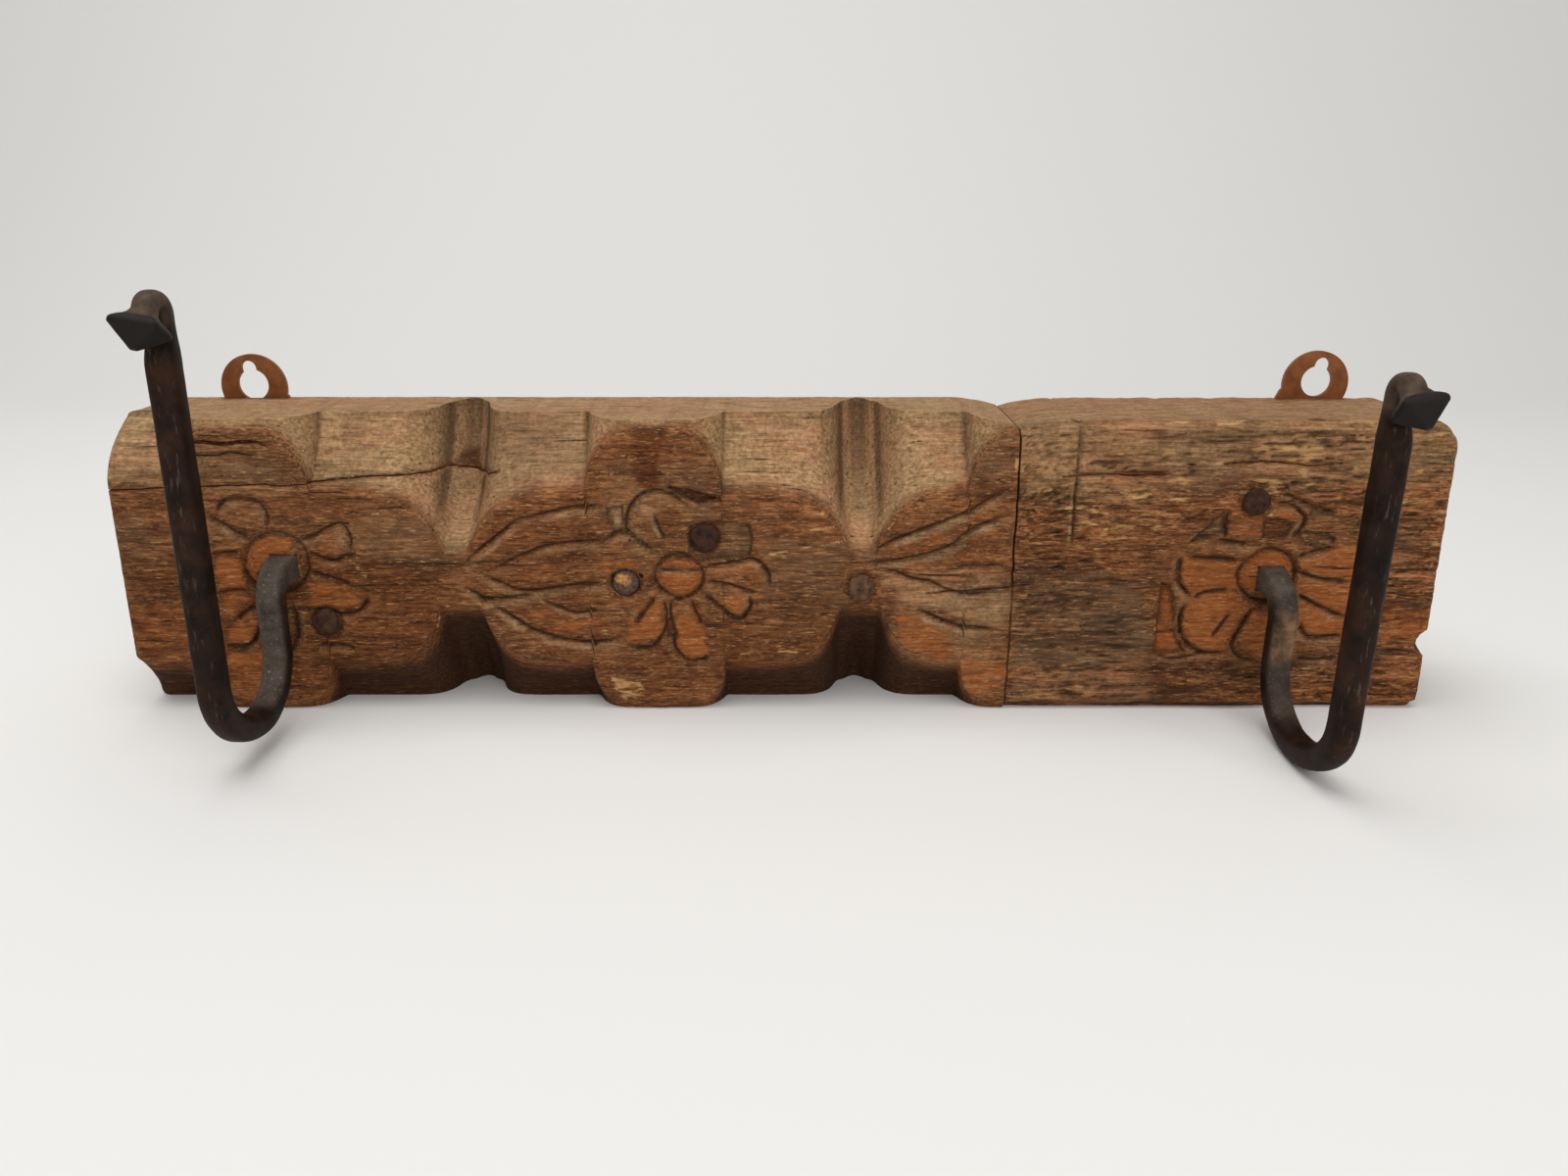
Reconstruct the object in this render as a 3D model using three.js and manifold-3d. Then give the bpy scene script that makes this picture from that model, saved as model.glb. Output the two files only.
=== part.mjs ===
// A wall rack: a length of old carved timber with two forged iron hooks driven through its flowers,
// two keyhole mirror plates on its back, old nails and one plugged hole.
// Millimetres. X runs to the right, Y towards the wall, Z up. The origin is the middle of the flat back.
import * as THREE from "three";
import { mergeVertices } from "three/addons/utils/BufferGeometryUtils.js";
import Module from "manifold-3d";

const wasm = await Module();
wasm.setup();

// Board
const boardLength = 461;
const boardHeight = 105;
const boardThickness = 50;
const wornEdge = 3.2; // rounding of the plain block's front edges
const endRound = 2.5; // rounding of the two sawn ends' front edges
const cornerRound = 4; // rounding of the four corners seen from the front
const endLean = 1.5; // how far each end leans in towards the top
const endLeanReach = 20; // from the end to where the board is square again
const fitGap = 0.3; // between a piece and its seat

// Scalloped carving, left of the saw kerf
const kerfPlace = 81.2; // X of the kerf, where the carving stops
const kerfWidth = 1.4;
const kerfDepth = 5;
const kerfTopDepth = 5.5;
const kerfDip = 3; // how far the top is worn down beside the kerf
const kerfDipReach = 19;
const scoreGap = 19.8; // from the kerf to the scored line on its right
const lobeMiddles = [-184, -43, 88];
const lobeHalfWidth = 23.5;
const columnMiddles = [-112.5, 28.5];
const topCoveHeight = 25;
const topCoveDepth = 18;
const topLobeDrop = 3; // a lobe's front edge lies this far below the board's top
const topColumnDrop = 22; // how much lower the cove begins beside a column
const bottomCoveHeight = 19.5;
const bottomCoveDepth = 13;
const bottomLobeDrop = 1.6;
const bottomColumnRise = 20;
const bottomColumnDepth = 19;
const columnLand = 2.5; // wood left behind a column at the top edge
const columnSpread = 9; // half width of the deep valley round a column
const beadHalfWidth = 4;
const reedWidth = 6; // each groove beside a column's bead
const reedDepth = 3.2;
const coveRoundness = 1.6;
const bevelEnd = -207.5; // left of this X the top cove is a rounded bevel
const bevelDepth = 20;
const bevelRoundness = 2.4;
const chipHeight = -28; // of the chip in the right end
const chipSize = 10;

// Carved lines
const grooveWidth = 2.8;
const grooveDepth = 2.1;
const grooveLean = 0.35; // share of its half width that a groove's floor lies off to the left of its line
const veinWidth = 1.8;
const veinDepth = 1.3;
const notchSlope = 0.3; // share by which a notch's floor is smaller than its mouth
const cutLift = 1; // how far cutters start in front of the face

// Flowers
const bossShoulder = 3.4;
const bossDepth = 2.6;

// Hooks
const leftHookX = -172.2;
const rightHookX = 171;
const hookSway = -1.1; // sideways from the shank to the leg
const leftBar = 9.1;
const rightBar = 9;
const leftHookRise = 91.6;
const rightHookRise = 75.1;
const leftHeadWidth = 14;
const rightHeadWidth = 12.8;
const tangDepth = 38;
const curlRadius = 4.3;
const curlThickness = 6.2;
const curlWidth = 6.6;
const thinReach = 14; // from where the leg thins to the curl
const bowlShare = 0.44; // of the hook's span, from the shank to the bowl's lowest place
const headHeightShare = 0.85; // of the head's width
const headRim = 2.2;
const headPoint = 5.5;

// Keyhole mirror plates
const earRadius = 12.1;
const plateThickness = 1.5;
const plateSink = 0.3; // below flush with the board's back
const plateBaseWidth = 36;
const plateBaseDrop = 28; // from the ear's centre to the base edge
const keyholeRadius = 5.6;
const keyslotWidth = 5.4;
const keyslotReach = 8.8; // from the keyhole's centre to the slot's top
const keyholeRaise = 1; // keyhole centre above the ear's
const leftPlateInset = 35.5; // from the board's end to the ear's centre
const leftPlateRise = 3.6;
const rightPlateInset = 32.1;
const rightPlateRise = 4.8;

// Fasteners
const screwShank = 3;
const screwHead = 6.4;
const screwHeadDepth = 1.3;
const screwRim = 0.3; // straight edge of the screw's head
const screwLength = 18;
const screwSpacing = 22;
const nailHead = 10;
const nailHeadHeight = 1.8;
const nailSink = 1;
const nailShank = 3.6;
const nailLength = 30;
const plugRadius = 4.8;
const plugDepth = 14;
const plugChamfer = 2;

// Values that follow
const boardTop = boardHeight / 2;
const boardBottom = -boardTop;
const boardHalf = boardLength / 2;
const faceY = -boardThickness;
const cutFront = faceY - cutLift;
const coveSteps = [1, 0.8, 0.6, 0.42, 0.24, 0.1, 0];

// Mirror plates: the ear's centre, its height above the board's top, and its lean to the left in degrees.
const plates = [
  { name: "left", x: leftPlateInset - boardHalf, rise: leftPlateRise, tilt: 9 },
  { name: "right", x: boardHalf - rightPlateInset, rise: rightPlateRise, tilt: -14 },
];
const hooks = [
  {
    name: "hook_left",
    x: leftHookX,
    sway: hookSway,
    exitZ: 1,
    bar: leftBar,
    reach: 13,
    bendRadius: 9,
    drop: 23, // from the shank to the bowl's upper end
    span: 45.5,
    bowlDepth: 19.5,
    lean: -2.2, // of the leg's top, forward
    rise: leftHookRise, // from the shank to the middle of the curl
    curlTurn: 152, // degrees from straight up, forward and down
    headWidth: leftHeadWidth,
    headTilt: 9, // degrees the head's point lies to the left
    topSway: 0.9, // sideways from the leg to the curl
  },
  {
    name: "hook_right",
    x: rightHookX,
    sway: hookSway,
    exitZ: -3,
    bar: rightBar,
    reach: 14.5,
    bendRadius: 10,
    drop: 26.5,
    span: 53.5,
    bowlDepth: 18.3,
    lean: 2.5,
    rise: rightHookRise,
    curlTurn: 141,
    headWidth: rightHeadWidth,
    headTilt: -11,
    topSway: -0.7,
  },
];
const nails = [
  { name: "face_nail_left", x: -160, z: -19 },
  { name: "face_nail_flower", x: -26, z: 11.5 },
  { name: "face_nail_column", x: 28.5, z: -6.5 },
  { name: "face_nail_right", x: 163, z: 24.5 },
];
const plugPlace = { x: -54, z: -5 };

// Hearts of the three flowers
const flowerHearts = [
  { x: -175.5, z: 2.5, radius: 11 },
  { x: -35.2, z: -2, radius: 8.2 },
  { x: 170, z: -2.5, radius: 9.5 },
];
// Petal and leaf lines as [x, z] points on the face
const petalLines = [
  [[-196, 19.5], [-191, 16.5], [-187, 13.5], [-183, 11]],
  [[-193.5, 20], [-190, 25], [-183, 26], [-178, 24], [-176, 19], [-176.5, 15]],
  [[-197, 6], [-192, 6.3], [-187.5, 6.6]],
  [[-197, -8], [-192, -7.2], [-186.5, -6.8]],
  [[-192, -18.5], [-188, -15], [-184, -12.5]],
  [[-197, -28], [-190, -28.3], [-186, -25], [-183.5, -19]],
  [[-180, -12], [-181, -24], [-176, -31], [-171, -24], [-171, -12]],
  [[-166.5, 10.5], [-160, 13], [-155.5, 15.5], [-151, 16.5], [-148.5, 12], [-149, 6.5]],
  [[-164, 6.5], [-156, 3.6], [-151, 4.8], [-147, 6.5]],
  [[-164, -0.5], [-162, -1], [-156, -3], [-150, -5]],
  [[-166, -14], [-158, -15.8], [-151, -16], [-146.5, -13.5], [-144.5, -9]],
  [[-165, -28], [-158, -27.7], [-151, -29]],
  [[-27, 1.2], [-20, 2.2], [-14, 3.2], [-9, 3.8], [-4.5, 0], [-3.2, -6]],
  [[-25.5, -3.8], [-19, -5], [-13, -7], [-8, -8.3]],
  [[-10.5, -9], [-10.3, -13.5], [-13.5, -18], [-18, -16.5], [-23, -12], [-27, -8.5]],
  [[-43.5, 8.6], [-47.5, 9.2], [-52.5, 14.5], [-52, 21], [-48, 26.5], [-42, 28.5], [-36, 26.5], [-31, 22.5]],
  [[-61, 10.5], [-55, 14], [-50, 11.5], [-44, 7.5]],
  [[-43.5, -10], [-47, -14.5], [-51, -20]],
  [[-40.5, -11], [-40, -17], [-41.5, -24], [-46.5, -29], [-54, -28]],
  [[-31, -11.5], [-29.5, -16], [-27.5, -20.5]],
  [[-37.5, -23], [-37, -29], [-33, -33.5], [-28, -33.5], [-24.5, -31.5]],
  [[179.5, 4.8], [186, 6.8], [192, 8.5]],
  [[180.5, -0.6], [188, -3], [197, -4]],
  [[181, -8.3], [187, -12], [193.5, -15], [199, -17]],
  [[184, -19.5], [186, -23.5], [190.5, -25], [199, -24]],
  [[151, 11.2], [156, 10.3], [162, 9.5]],
  [[154, 21.5], [153.6, 17], [154, 11.5]],
  [[169, 24.5], [176, 23], [180.5, 19], [180, 15], [176.5, 11]],
  [[171, 28], [176, 25.8], [184, 22.5], [191, 20.5]],
  [[142, 4.8], [150, 4.2], [159.5, 3.6]],
  [[139.3, 5], [139.8, -4], [144.5, -10]],
  [[145, -10.5], [149, -8.3], [157.5, -6.8]],
  [[143.5, -12], [141.5, -17], [142.5, -24], [147, -29], [152, -30.8], [160, -30.5]],
  [[166.5, -14], [163.5, -21], [161, -27.5], [164, -32.5], [170, -33.5]],
  [[184, -33], [191, -33.5], [199, -32.7]],
];
const petalVeins = [
  [[-38.3, -11.5], [-38.5, -15], [-38.4, -18]],
  [[-43.2, 20], [-41.5, 15], [-39.5, 11.2]],
  [[158.5, -16], [155.5, -21], [153, -25]],
];
const leafLines = [
  [[-109, 3], [-106, 6], [-100, 10.5], [-95, 14.5], [-90, 18], [-80, 20.5], [-70, 22.7], [-58, 23.5]],
  [[-99, 0.5], [-95, 3], [-88, 6], [-80, 9], [-70, 10.3], [-61.5, 10.8]],
  [[-103, -1.5], [-97, -5], [-90, -7.5], [-80, -6.8], [-70, -5], [-61.5, -4.6]],
  [[-110, -6], [-106, -9], [-103, -10.5], [-95, -10.2], [-86, -9.3]],
  [[-101, -12.5], [-96, -16], [-90, -20.5], [-85, -23], [-78, -25.5], [-70, -26.8], [-63, -26.5], [-56, -25]],
  [[31, 6.5], [36, 9], [42, 12], [50, 15], [60, 19], [68, 23], [78, 29.5]],
  [[30, 3], [36, 3], [45, 4.5], [52, 6], [60, 9.5], [64, 13], [70, 16.5], [80, 20.3]],
  [[34, 1], [40, -0.5], [46, -3], [53, -4.5], [58, -7], [63, -8], [70, -7.3], [80, -6]],
  [[49, -14.5], [55, -17.5], [60, -19.8], [66, -21], [75, -21.5]],
];
const leafVeins = [
  [[-84, -10.5], [-79, -13], [-72, -15.5], [-66, -15], [-62, -14.5]],
  [[61, 0.8], [66, 1.6], [72, 1.8], [79.5, 2.2]],
  [[61, -9.2], [70, -9], [79.5, -8.5]],
];
// Places between the petals cut flat below the face: depth in the middle, and the corners as [x, z]
const notches = [
  { depth: 2.2, corners: [[-40, 30.5], [-30, 29], [-19, 25.5], [-28, 23.5], [-35, 27]] },
  { depth: 1.9, corners: [[-59.5, 22.5], [-53.5, 23.5], [-53.5, 16], [-57.5, 14]] },
  { depth: 2, corners: [[-40.5, -18], [-38, -17.5], [-35.5, -25], [-40, -25.5]] },
  { depth: 1.5, corners: [[-31, 16], [-21, 18], [-10.5, 17], [-9, 11], [-10, 5.2], [-28, 2.8], [-31.5, 7]] },
  { depth: 2.2, corners: [[140.5, 9.5], [153, 21.5], [153, 12.5], [149, 11.5]] },
  { depth: 1.4, corners: [[166, 18.8], [171, 19.2], [177.5, 16], [175, 12], [166.5, 11.5]] },
  { depth: 1.5, corners: [[178, 11.5], [181, 14.5], [192, 12], [192, 9.6], [186, 7.8]] },
  { depth: 1.3, corners: [[183, 22], [191, 19.5], [183, 18.8], [181.5, 20]] },
  { depth: 2.6, corners: [[133.5, -4.5], [137, -5.5], [139, -11], [140, -18], [141, -25], [145, -30.8], [133, -31.5]] },
];

// Materials
const oldTimber = () => new THREE.MeshStandardMaterial({ color: 0x7a4a2c, roughness: 0.8, metalness: 0 });
const plugTimber = () => new THREE.MeshStandardMaterial({ color: 0xa8632f, roughness: 0.75, metalness: 0 });
const forgedIron = () => new THREE.MeshStandardMaterial({ color: 0x2b2421, roughness: 0.55, metalness: 0.8 });
const rustyIron = () => new THREE.MeshStandardMaterial({ color: 0x3a2a24, roughness: 0.75, metalness: 0.6 });
const copperedSteel = () => new THREE.MeshStandardMaterial({ color: 0x7c4427, roughness: 0.4, metalness: 0.8 });

// A closed geometry as a solid that can be joined and cut.
function solidOf(geometry) {
  geometry.deleteAttribute("normal");
  geometry.deleteAttribute("uv");
  const merged = mergeVertices(geometry, 1e-4);
  return new wasm.Manifold(
    new wasm.Mesh({
      numProp: 3,
      vertProperties: merged.attributes.position.array,
      triVerts: new Uint32Array(merged.index.array),
    }),
  );
}

function geometryOf(solid) {
  const cut = solid.getMesh();
  const geometry = new THREE.BufferGeometry();
  geometry.setAttribute("position", new THREE.BufferAttribute(cut.vertProperties, 3));
  geometry.setIndex(new THREE.BufferAttribute(cut.triVerts, 1));
  geometry.computeVertexNormals();
  return geometry;
}

// A closed skin through sections of equal point count, each a loop of Vector3.
function loft(sections) {
  const count = sections[0].length;
  const positions = sections.flat().flatMap((p) => [p.x, p.y, p.z]);
  const index = [];
  for (let s = 0; s + 1 < sections.length; s++) {
    for (let i = 0; i < count; i++) {
      const a = s * count + i;
      const b = s * count + ((i + 1) % count);
      index.push(a, b, a + count, b, b + count, a + count);
    }
  }
  capLoop(index, sections[0], 0, true);
  capLoop(index, sections[sections.length - 1], (sections.length - 1) * count, false);
  const geometry = new THREE.BufferGeometry();
  geometry.setAttribute("position", new THREE.Float32BufferAttribute(positions, 3));
  geometry.setIndex(index);
  return geometry;
}

// Closes one end of a loft: the loop is flattened on its own plane and triangulated.
function capLoop(index, loop, first, reversed) {
  const normal = new THREE.Vector3();
  loop.forEach((p, i) => normal.add(p.clone().cross(loop[(i + 1) % loop.length])));
  normal.normalize();
  const side = loop[1].clone().sub(loop[0]).normalize();
  const rise = normal.clone().cross(side);
  const flat = loop.map((p) => new THREE.Vector2(p.dot(side), p.dot(rise)));
  for (const [a, b, c] of THREE.ShapeUtils.triangulateShape(flat, [])) {
    if (reversed) index.push(first + a, first + c, first + b);
    else index.push(first + a, first + b, first + c);
  }
}

// A shape drawn in X and Z, made solid from yFront back to yBack.
function slab(shape, yFront, yBack, curveSegments = 12) {
  const depth = yBack - yFront;
  const geometry = new THREE.ExtrudeGeometry(shape, { depth, bevelEnabled: false, curveSegments });
  return geometry.rotateX(Math.PI / 2).translate(0, yBack, 0);
}

function block(width, depth, height, x, y, z) {
  return new THREE.BoxGeometry(width, depth, height).translate(x, y, z);
}

// A turned solid on an axis along Y at (x, z): profile points are [radius, y], in either order.
function turned(profile, x, z, segments = 20) {
  const points = profile.map(([radius, y]) => new THREE.Vector2(radius, y));
  if (THREE.ShapeUtils.area(points) < 0) points.reverse();
  return new THREE.LatheGeometry(points, segments).translate(x, 0, z);
}

const nearest = (x, places) => Math.min(...places.map((place) => Math.abs(x - place)));
const mix = (a, b, share) => a + (b - a) * share;

// Where the top cove leaves the face, and how deep it lies at the top edge.
function topCove(x) {
  if (x > kerfPlace) return { z: boardTop - wornEdge - dip(x), depth: wornEdge };
  if (x < bevelEnd) return { z: boardTop - topCoveHeight, depth: bevelDepth, bevel: true };
  const away = nearest(x, columnMiddles);
  const share = nearest(x, lobeMiddles) / lobeHalfWidth;
  const valley = Math.exp(-((away / columnSpread) ** 2));
  const fullDepth = boardThickness - columnLand;
  const cove = {
    z: boardTop - topCoveHeight - topColumnDrop * Math.exp(-Math.max(away - beadHalfWidth, 0) / columnSpread),
    depth: mix(topCoveDepth, fullDepth, valley),
  };
  if (share >= 1) return cove;
  const lobeZ = boardTop - mix(topCoveHeight, topLobeDrop, Math.sqrt(1 - share ** 2));
  return { z: Math.max(cove.z, lobeZ), depth: mix(topLobeDrop, cove.depth, share ** 5) };
}

// The same for the cove along the bottom edge.
function bottomCove(x) {
  if (x > kerfPlace) return { z: boardBottom + wornEdge, depth: wornEdge };
  const away = nearest(x, columnMiddles);
  const share = nearest(x, lobeMiddles) / lobeHalfWidth;
  const valley = Math.exp(-((away / columnSpread) ** 2));
  const cove = {
    z: boardBottom + bottomCoveHeight
      + bottomColumnRise * Math.exp(-Math.max(away - beadHalfWidth - reedWidth / 2, 0) / reedWidth),
    depth: bottomCoveDepth + bottomColumnDepth * valley,
  };
  if (share >= 1) return cove;
  const lobeZ = boardBottom + mix(bottomCoveHeight, bottomLobeDrop, Math.cbrt(1 - share ** 3));
  return { z: Math.min(cove.z, lobeZ), depth: mix(bottomLobeDrop, cove.depth, share ** 6) };
}

// Depth of the two round grooves beside a column's bead.
function reed(x) {
  const fromGroove = Math.abs(nearest(x, columnMiddles) - beadHalfWidth - reedWidth / 2);
  if (x > kerfPlace || fromGroove >= reedWidth / 2) return 0;
  return reedDepth * Math.cos((Math.PI * fromGroove) / reedWidth) ** 2;
}

// How far a rounding of this radius at both ends takes the wood in at x.
function endWear(x, radius) {
  const share = Math.max(0, 1 - (boardHalf - Math.abs(x)) / radius);
  return radius * (1 - Math.sqrt(Math.max(0, 1 - share ** 2)));
}

// How far the top edge is worn down beside the kerf.
const dip = (x) => kerfDip * Math.max(0, 1 - Math.abs(x - kerfPlace) / kerfDipReach) ** 2;

// The board's cross-section at x, from the back's bottom edge round over the top to the front.
function boardSection(x) {
  const wear = endWear(x, endRound);
  const corner = endWear(x, cornerRound);
  const topZ = boardTop - corner - dip(x);
  const bottomZ = boardBottom + corner;
  const groove = reed(x);
  const point = (edge, edgeZ, step) => {
    const share = edge.bevel ? step ** bevelRoundness : 1 - (1 - step) ** coveRoundness;
    const hollow = edge.depth * share + groove * Math.min(1, 3 * step);
    const depth = Math.min(hollow + wear, boardThickness - columnLand);
    return leanEnd(x, faceY + depth, mix(edge.z, edgeZ, step));
  };
  const above = coveSteps.map((step) => point(topCove(x), topZ, step));
  const below = coveSteps.map((step) => point(bottomCove(x), bottomZ, step)).reverse();
  return [leanEnd(x, 0, bottomZ), leanEnd(x, 0, topZ), ...above, ...below];
}

// A point of the board, moved in near the ends by their lean.
function leanEnd(x, y, z) {
  const share = Math.max(0, 1 - (boardHalf - Math.abs(x)) / endLeanReach);
  const rise = (z - boardBottom) / boardHeight;
  return new THREE.Vector3(x - Math.sign(x) * endLean * share * rise, y, z);
}

// The X places of the sections: close together where the outline turns.
function boardStations() {
  const stations = [kerfPlace - 0.01, kerfPlace + 0.01, kerfPlace + scoreGap, bevelEnd - 1];
  for (const share of [0.3, 0.7]) stations.push(kerfPlace + share * kerfDipReach);
  for (const share of [0, 0.5, 0.8, 0.95, 1]) {
    const x = boardHalf - cornerRound * (1 - share);
    stations.push(-x, x);
  }
  const lobeShares = [0, 0.3, 0.55, 0.75, 0.88, 0.95, 0.985, 1, 1.06, 1.25];
  for (const middle of lobeMiddles) {
    for (const share of lobeShares) {
      stations.push(middle - share * lobeHalfWidth, middle + share * lobeHalfWidth);
    }
  }
  const bead = beadHalfWidth;
  const reedShares = [0.15, 0.35, 0.5, 0.65, 0.85];
  const offsets = [0, bead * 0.6, bead, ...reedShares.map((share) => bead + share * reedWidth)];
  offsets.push(bead + reedWidth, bead + reedWidth * 1.4, columnSpread * 1.7, columnSpread * 2.3, columnSpread * 3.2);
  for (const middle of columnMiddles) {
    for (const offset of offsets) stations.push(middle - offset, middle + offset);
  }
  const kept = stations.filter((x) => Math.abs(x) <= boardHalf && (x < kerfPlace || x > kerfPlace));
  const sorted = [...new Set(kept)].sort((a, b) => a - b);
  return sorted.filter((x, i) => i === 0 || x - sorted[i - 1] > 0.015);
}

// A V-shaped cutter that follows points on the face and runs out at both ends.
function vGroove(points, width, depth) {
  const curve = new THREE.CatmullRomCurve3(points.map(([x, z]) => new THREE.Vector3(x, 0, z)));
  const steps = 3 * (points.length - 1) + 1;
  const sections = [];
  for (let i = 0; i <= steps; i++) {
    const share = i / steps;
    const run = Math.min(1, 0.2 + 5 * Math.min(share, 1 - share));
    const place = curve.getPoint(share);
    const along = curve.getTangent(share);
    const across = new THREE.Vector3(-along.z, 0, along.x).multiplyScalar((width / 2) * run);
    const floor = across.clone().multiplyScalar(grooveLean);
    const mouth = across.clone().multiplyScalar(1 + cutLift / (depth * run));
    sections.push([
      place.clone().add(mouth).setY(cutFront),
      place.clone().sub(mouth).setY(cutFront),
      place.clone().add(floor).setY(faceY + depth * run),
    ]);
  }
  return solidOf(loft(sections));
}

// A ring cut round a flower's heart: its inner wall leaves the heart domed.
function bossRing(x, z, radius) {
  const inner = radius - bossShoulder;
  const outer = radius + grooveWidth / 2;
  const profile = [
    [inner, cutFront],
    [inner, faceY],
    [radius - bossShoulder / 3, faceY + bossDepth * 0.4],
    [radius, faceY + bossDepth],
    [outer + grooveWidth / 2, cutFront],
    [inner, cutFront],
  ];
  return solidOf(turned(profile, x, z, 24));
}

// A place between petals cut out with walls that slope in.
function notchCut({ depth, corners }) {
  const outline = corners.map(([x, z]) => new THREE.Vector2(x, z));
  const middle = new THREE.Vector2();
  for (const corner of outline) middle.addScaledVector(corner, 1 / outline.length);
  const loop = (share, y) => outline.map((corner) => {
    const place = middle.clone().lerp(corner, share);
    return new THREE.Vector3(place.x, y, place.y);
  });
  const slope = (notchSlope * cutLift) / depth;
  return solidOf(loft([loop(1 + slope, cutFront), loop(1 - notchSlope, faceY + depth)]));
}

// The saw kerf and the scored line beside it, across the face and the top.
function kerfCuts() {
  const tall = boardHeight + 2 * cutLift;
  const score = { width: 1, depth: 1.2, bottom: 10 };
  const scoreTall = boardTop + cutLift - score.bottom;
  const scoreX = kerfPlace + scoreGap;
  const scoreZ = score.bottom + scoreTall / 2;
  const topZ = boardTop + cutLift - (kerfTopDepth + cutLift) / 2;
  const cuts = [
    block(kerfWidth, kerfDepth + cutLift, tall, kerfPlace, cutFront + (kerfDepth + cutLift) / 2, 0),
    block(kerfWidth, boardThickness + 2 * cutLift, kerfTopDepth + cutLift, kerfPlace, faceY / 2, topZ),
    block(score.width, score.depth + cutLift, scoreTall, scoreX, cutFront + (score.depth + cutLift) / 2, scoreZ),
  ];
  return cuts.map(solidOf);
}

// A chip broken out of the right end.
function endChip() {
  const chip = new THREE.BoxGeometry(chipSize, 2 * chipSize, chipSize).rotateY(Math.PI / 4);
  return solidOf(chip.translate(boardHalf + chipSize / 4, faceY, chipHeight));
}

function nailSeats() {
  return nails.flatMap(({ x, z }) => {
    const bowl = [
      [0, cutFront],
      [nailHead / 2 + fitGap, cutFront],
      [nailHead / 2 + fitGap, faceY + nailSink],
      [0, faceY + nailSink],
    ];
    const hole = nailShank + 2 * fitGap;
    const deep = nailLength + fitGap;
    return [solidOf(turned(bowl, x, z)), solidOf(block(hole, deep, hole, x, faceY + deep / 2, z))];
  });
}

function plugSeat() {
  const radius = plugRadius + fitGap;
  const profile = [
    [0, cutFront],
    [radius + plugChamfer + cutLift, cutFront],
    [radius, faceY + plugChamfer],
    [radius, faceY + plugDepth + fitGap],
    [0, faceY + plugDepth + fitGap],
  ];
  return solidOf(turned(profile, plugPlace.x, plugPlace.z));
}

function tangSeats() {
  return hooks.map((hook) => {
    const hole = hook.bar + 2 * fitGap;
    const deep = tangDepth + fitGap + cutLift;
    return solidOf(block(hole, deep, hole, hook.x, cutFront + deep / 2, hook.exitZ));
  });
}

// Outline of a mirror plate round its ear's centre, grown all round by grow.
function plateShape(grow) {
  const ear = earRadius + grow;
  const half = plateBaseWidth / 2 + grow;
  const low = -plateBaseDrop - grow;
  const corner = 5;
  const bend = grow - earRadius * 0.9;
  const shoulder = grow - earRadius * 1.2;
  const shape = new THREE.Shape();
  const open = THREE.MathUtils.degToRad(-18);
  shape.absarc(0, 0, ear, open, Math.PI - open, false);
  shape.quadraticCurveTo(-ear, bend, -half, shoulder);
  shape.lineTo(-half, low + corner);
  shape.quadraticCurveTo(-half, low, -half + corner, low);
  shape.lineTo(half - corner, low);
  shape.quadraticCurveTo(half, low, half, low + corner);
  shape.lineTo(half, shoulder);
  shape.quadraticCurveTo(ear, bend, ear * Math.cos(open), ear * Math.sin(open));
  return shape;
}

function keyhole() {
  const half = keyslotWidth / 2;
  const join = Math.asin(half / keyholeRadius);
  const path = new THREE.Path();
  const slotTop = keyholeRaise + keyslotReach - half;
  path.absarc(0, keyholeRaise, keyholeRadius, Math.PI / 2 + join, Math.PI / 2 - join + 2 * Math.PI, false);
  path.lineTo(half, slotTop);
  path.absarc(0, slotTop, half, 0, Math.PI, false);
  path.closePath();
  return path;
}

// Moves what was drawn round the ear's centre to its place on the board.
function placePlate(geometry, plate) {
  const turn = THREE.MathUtils.degToRad(-plate.tilt);
  return geometry.rotateY(turn).translate(plate.x, 0, boardTop + plate.rise);
}

const screwPlaces = () => [-screwSpacing / 2, screwSpacing / 2].map((x) => ({ x, z: -plateBaseDrop + 7 }));

function plateSeats() {
  const floorY = -(plateSink + plateThickness + fitGap);
  const pilot = screwShank / 2 + fitGap;
  return plates.flatMap((plate) => {
    const seat = solidOf(placePlate(slab(plateShape(fitGap), floorY, cutLift, 9), plate));
    const pilots = screwPlaces().map(({ x, z }) => {
      const profile = [
        [0, -screwLength - plateSink - fitGap],
        [pilot, -screwLength - plateSink - fitGap],
        [pilot, 0],
        [0, 0],
      ];
      return solidOf(placePlate(turned(profile, x, z, 16), plate));
    });
    return [seat, ...pilots];
  });
}

function carvedBoard() {
  const blank = solidOf(loft(boardStations().map(boardSection)));
  const lines = [...petalLines, ...leafLines].map((points) => vGroove(points, grooveWidth, grooveDepth));
  const veins = [...petalVeins, ...leafVeins].map((points) => vGroove(points, veinWidth, veinDepth));
  const cuts = [
    ...flowerHearts.map(({ x, z, radius }) => bossRing(x, z, radius)),
    ...lines,
    ...veins,
    ...notches.map(notchCut),
    ...kerfCuts(),
    endChip(),
    ...nailSeats(),
    plugSeat(),
    ...tangSeats(),
    ...plateSeats(),
  ];
  return cuts.reduce((board, cut) => board.subtract(cut), blank);
}

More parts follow.
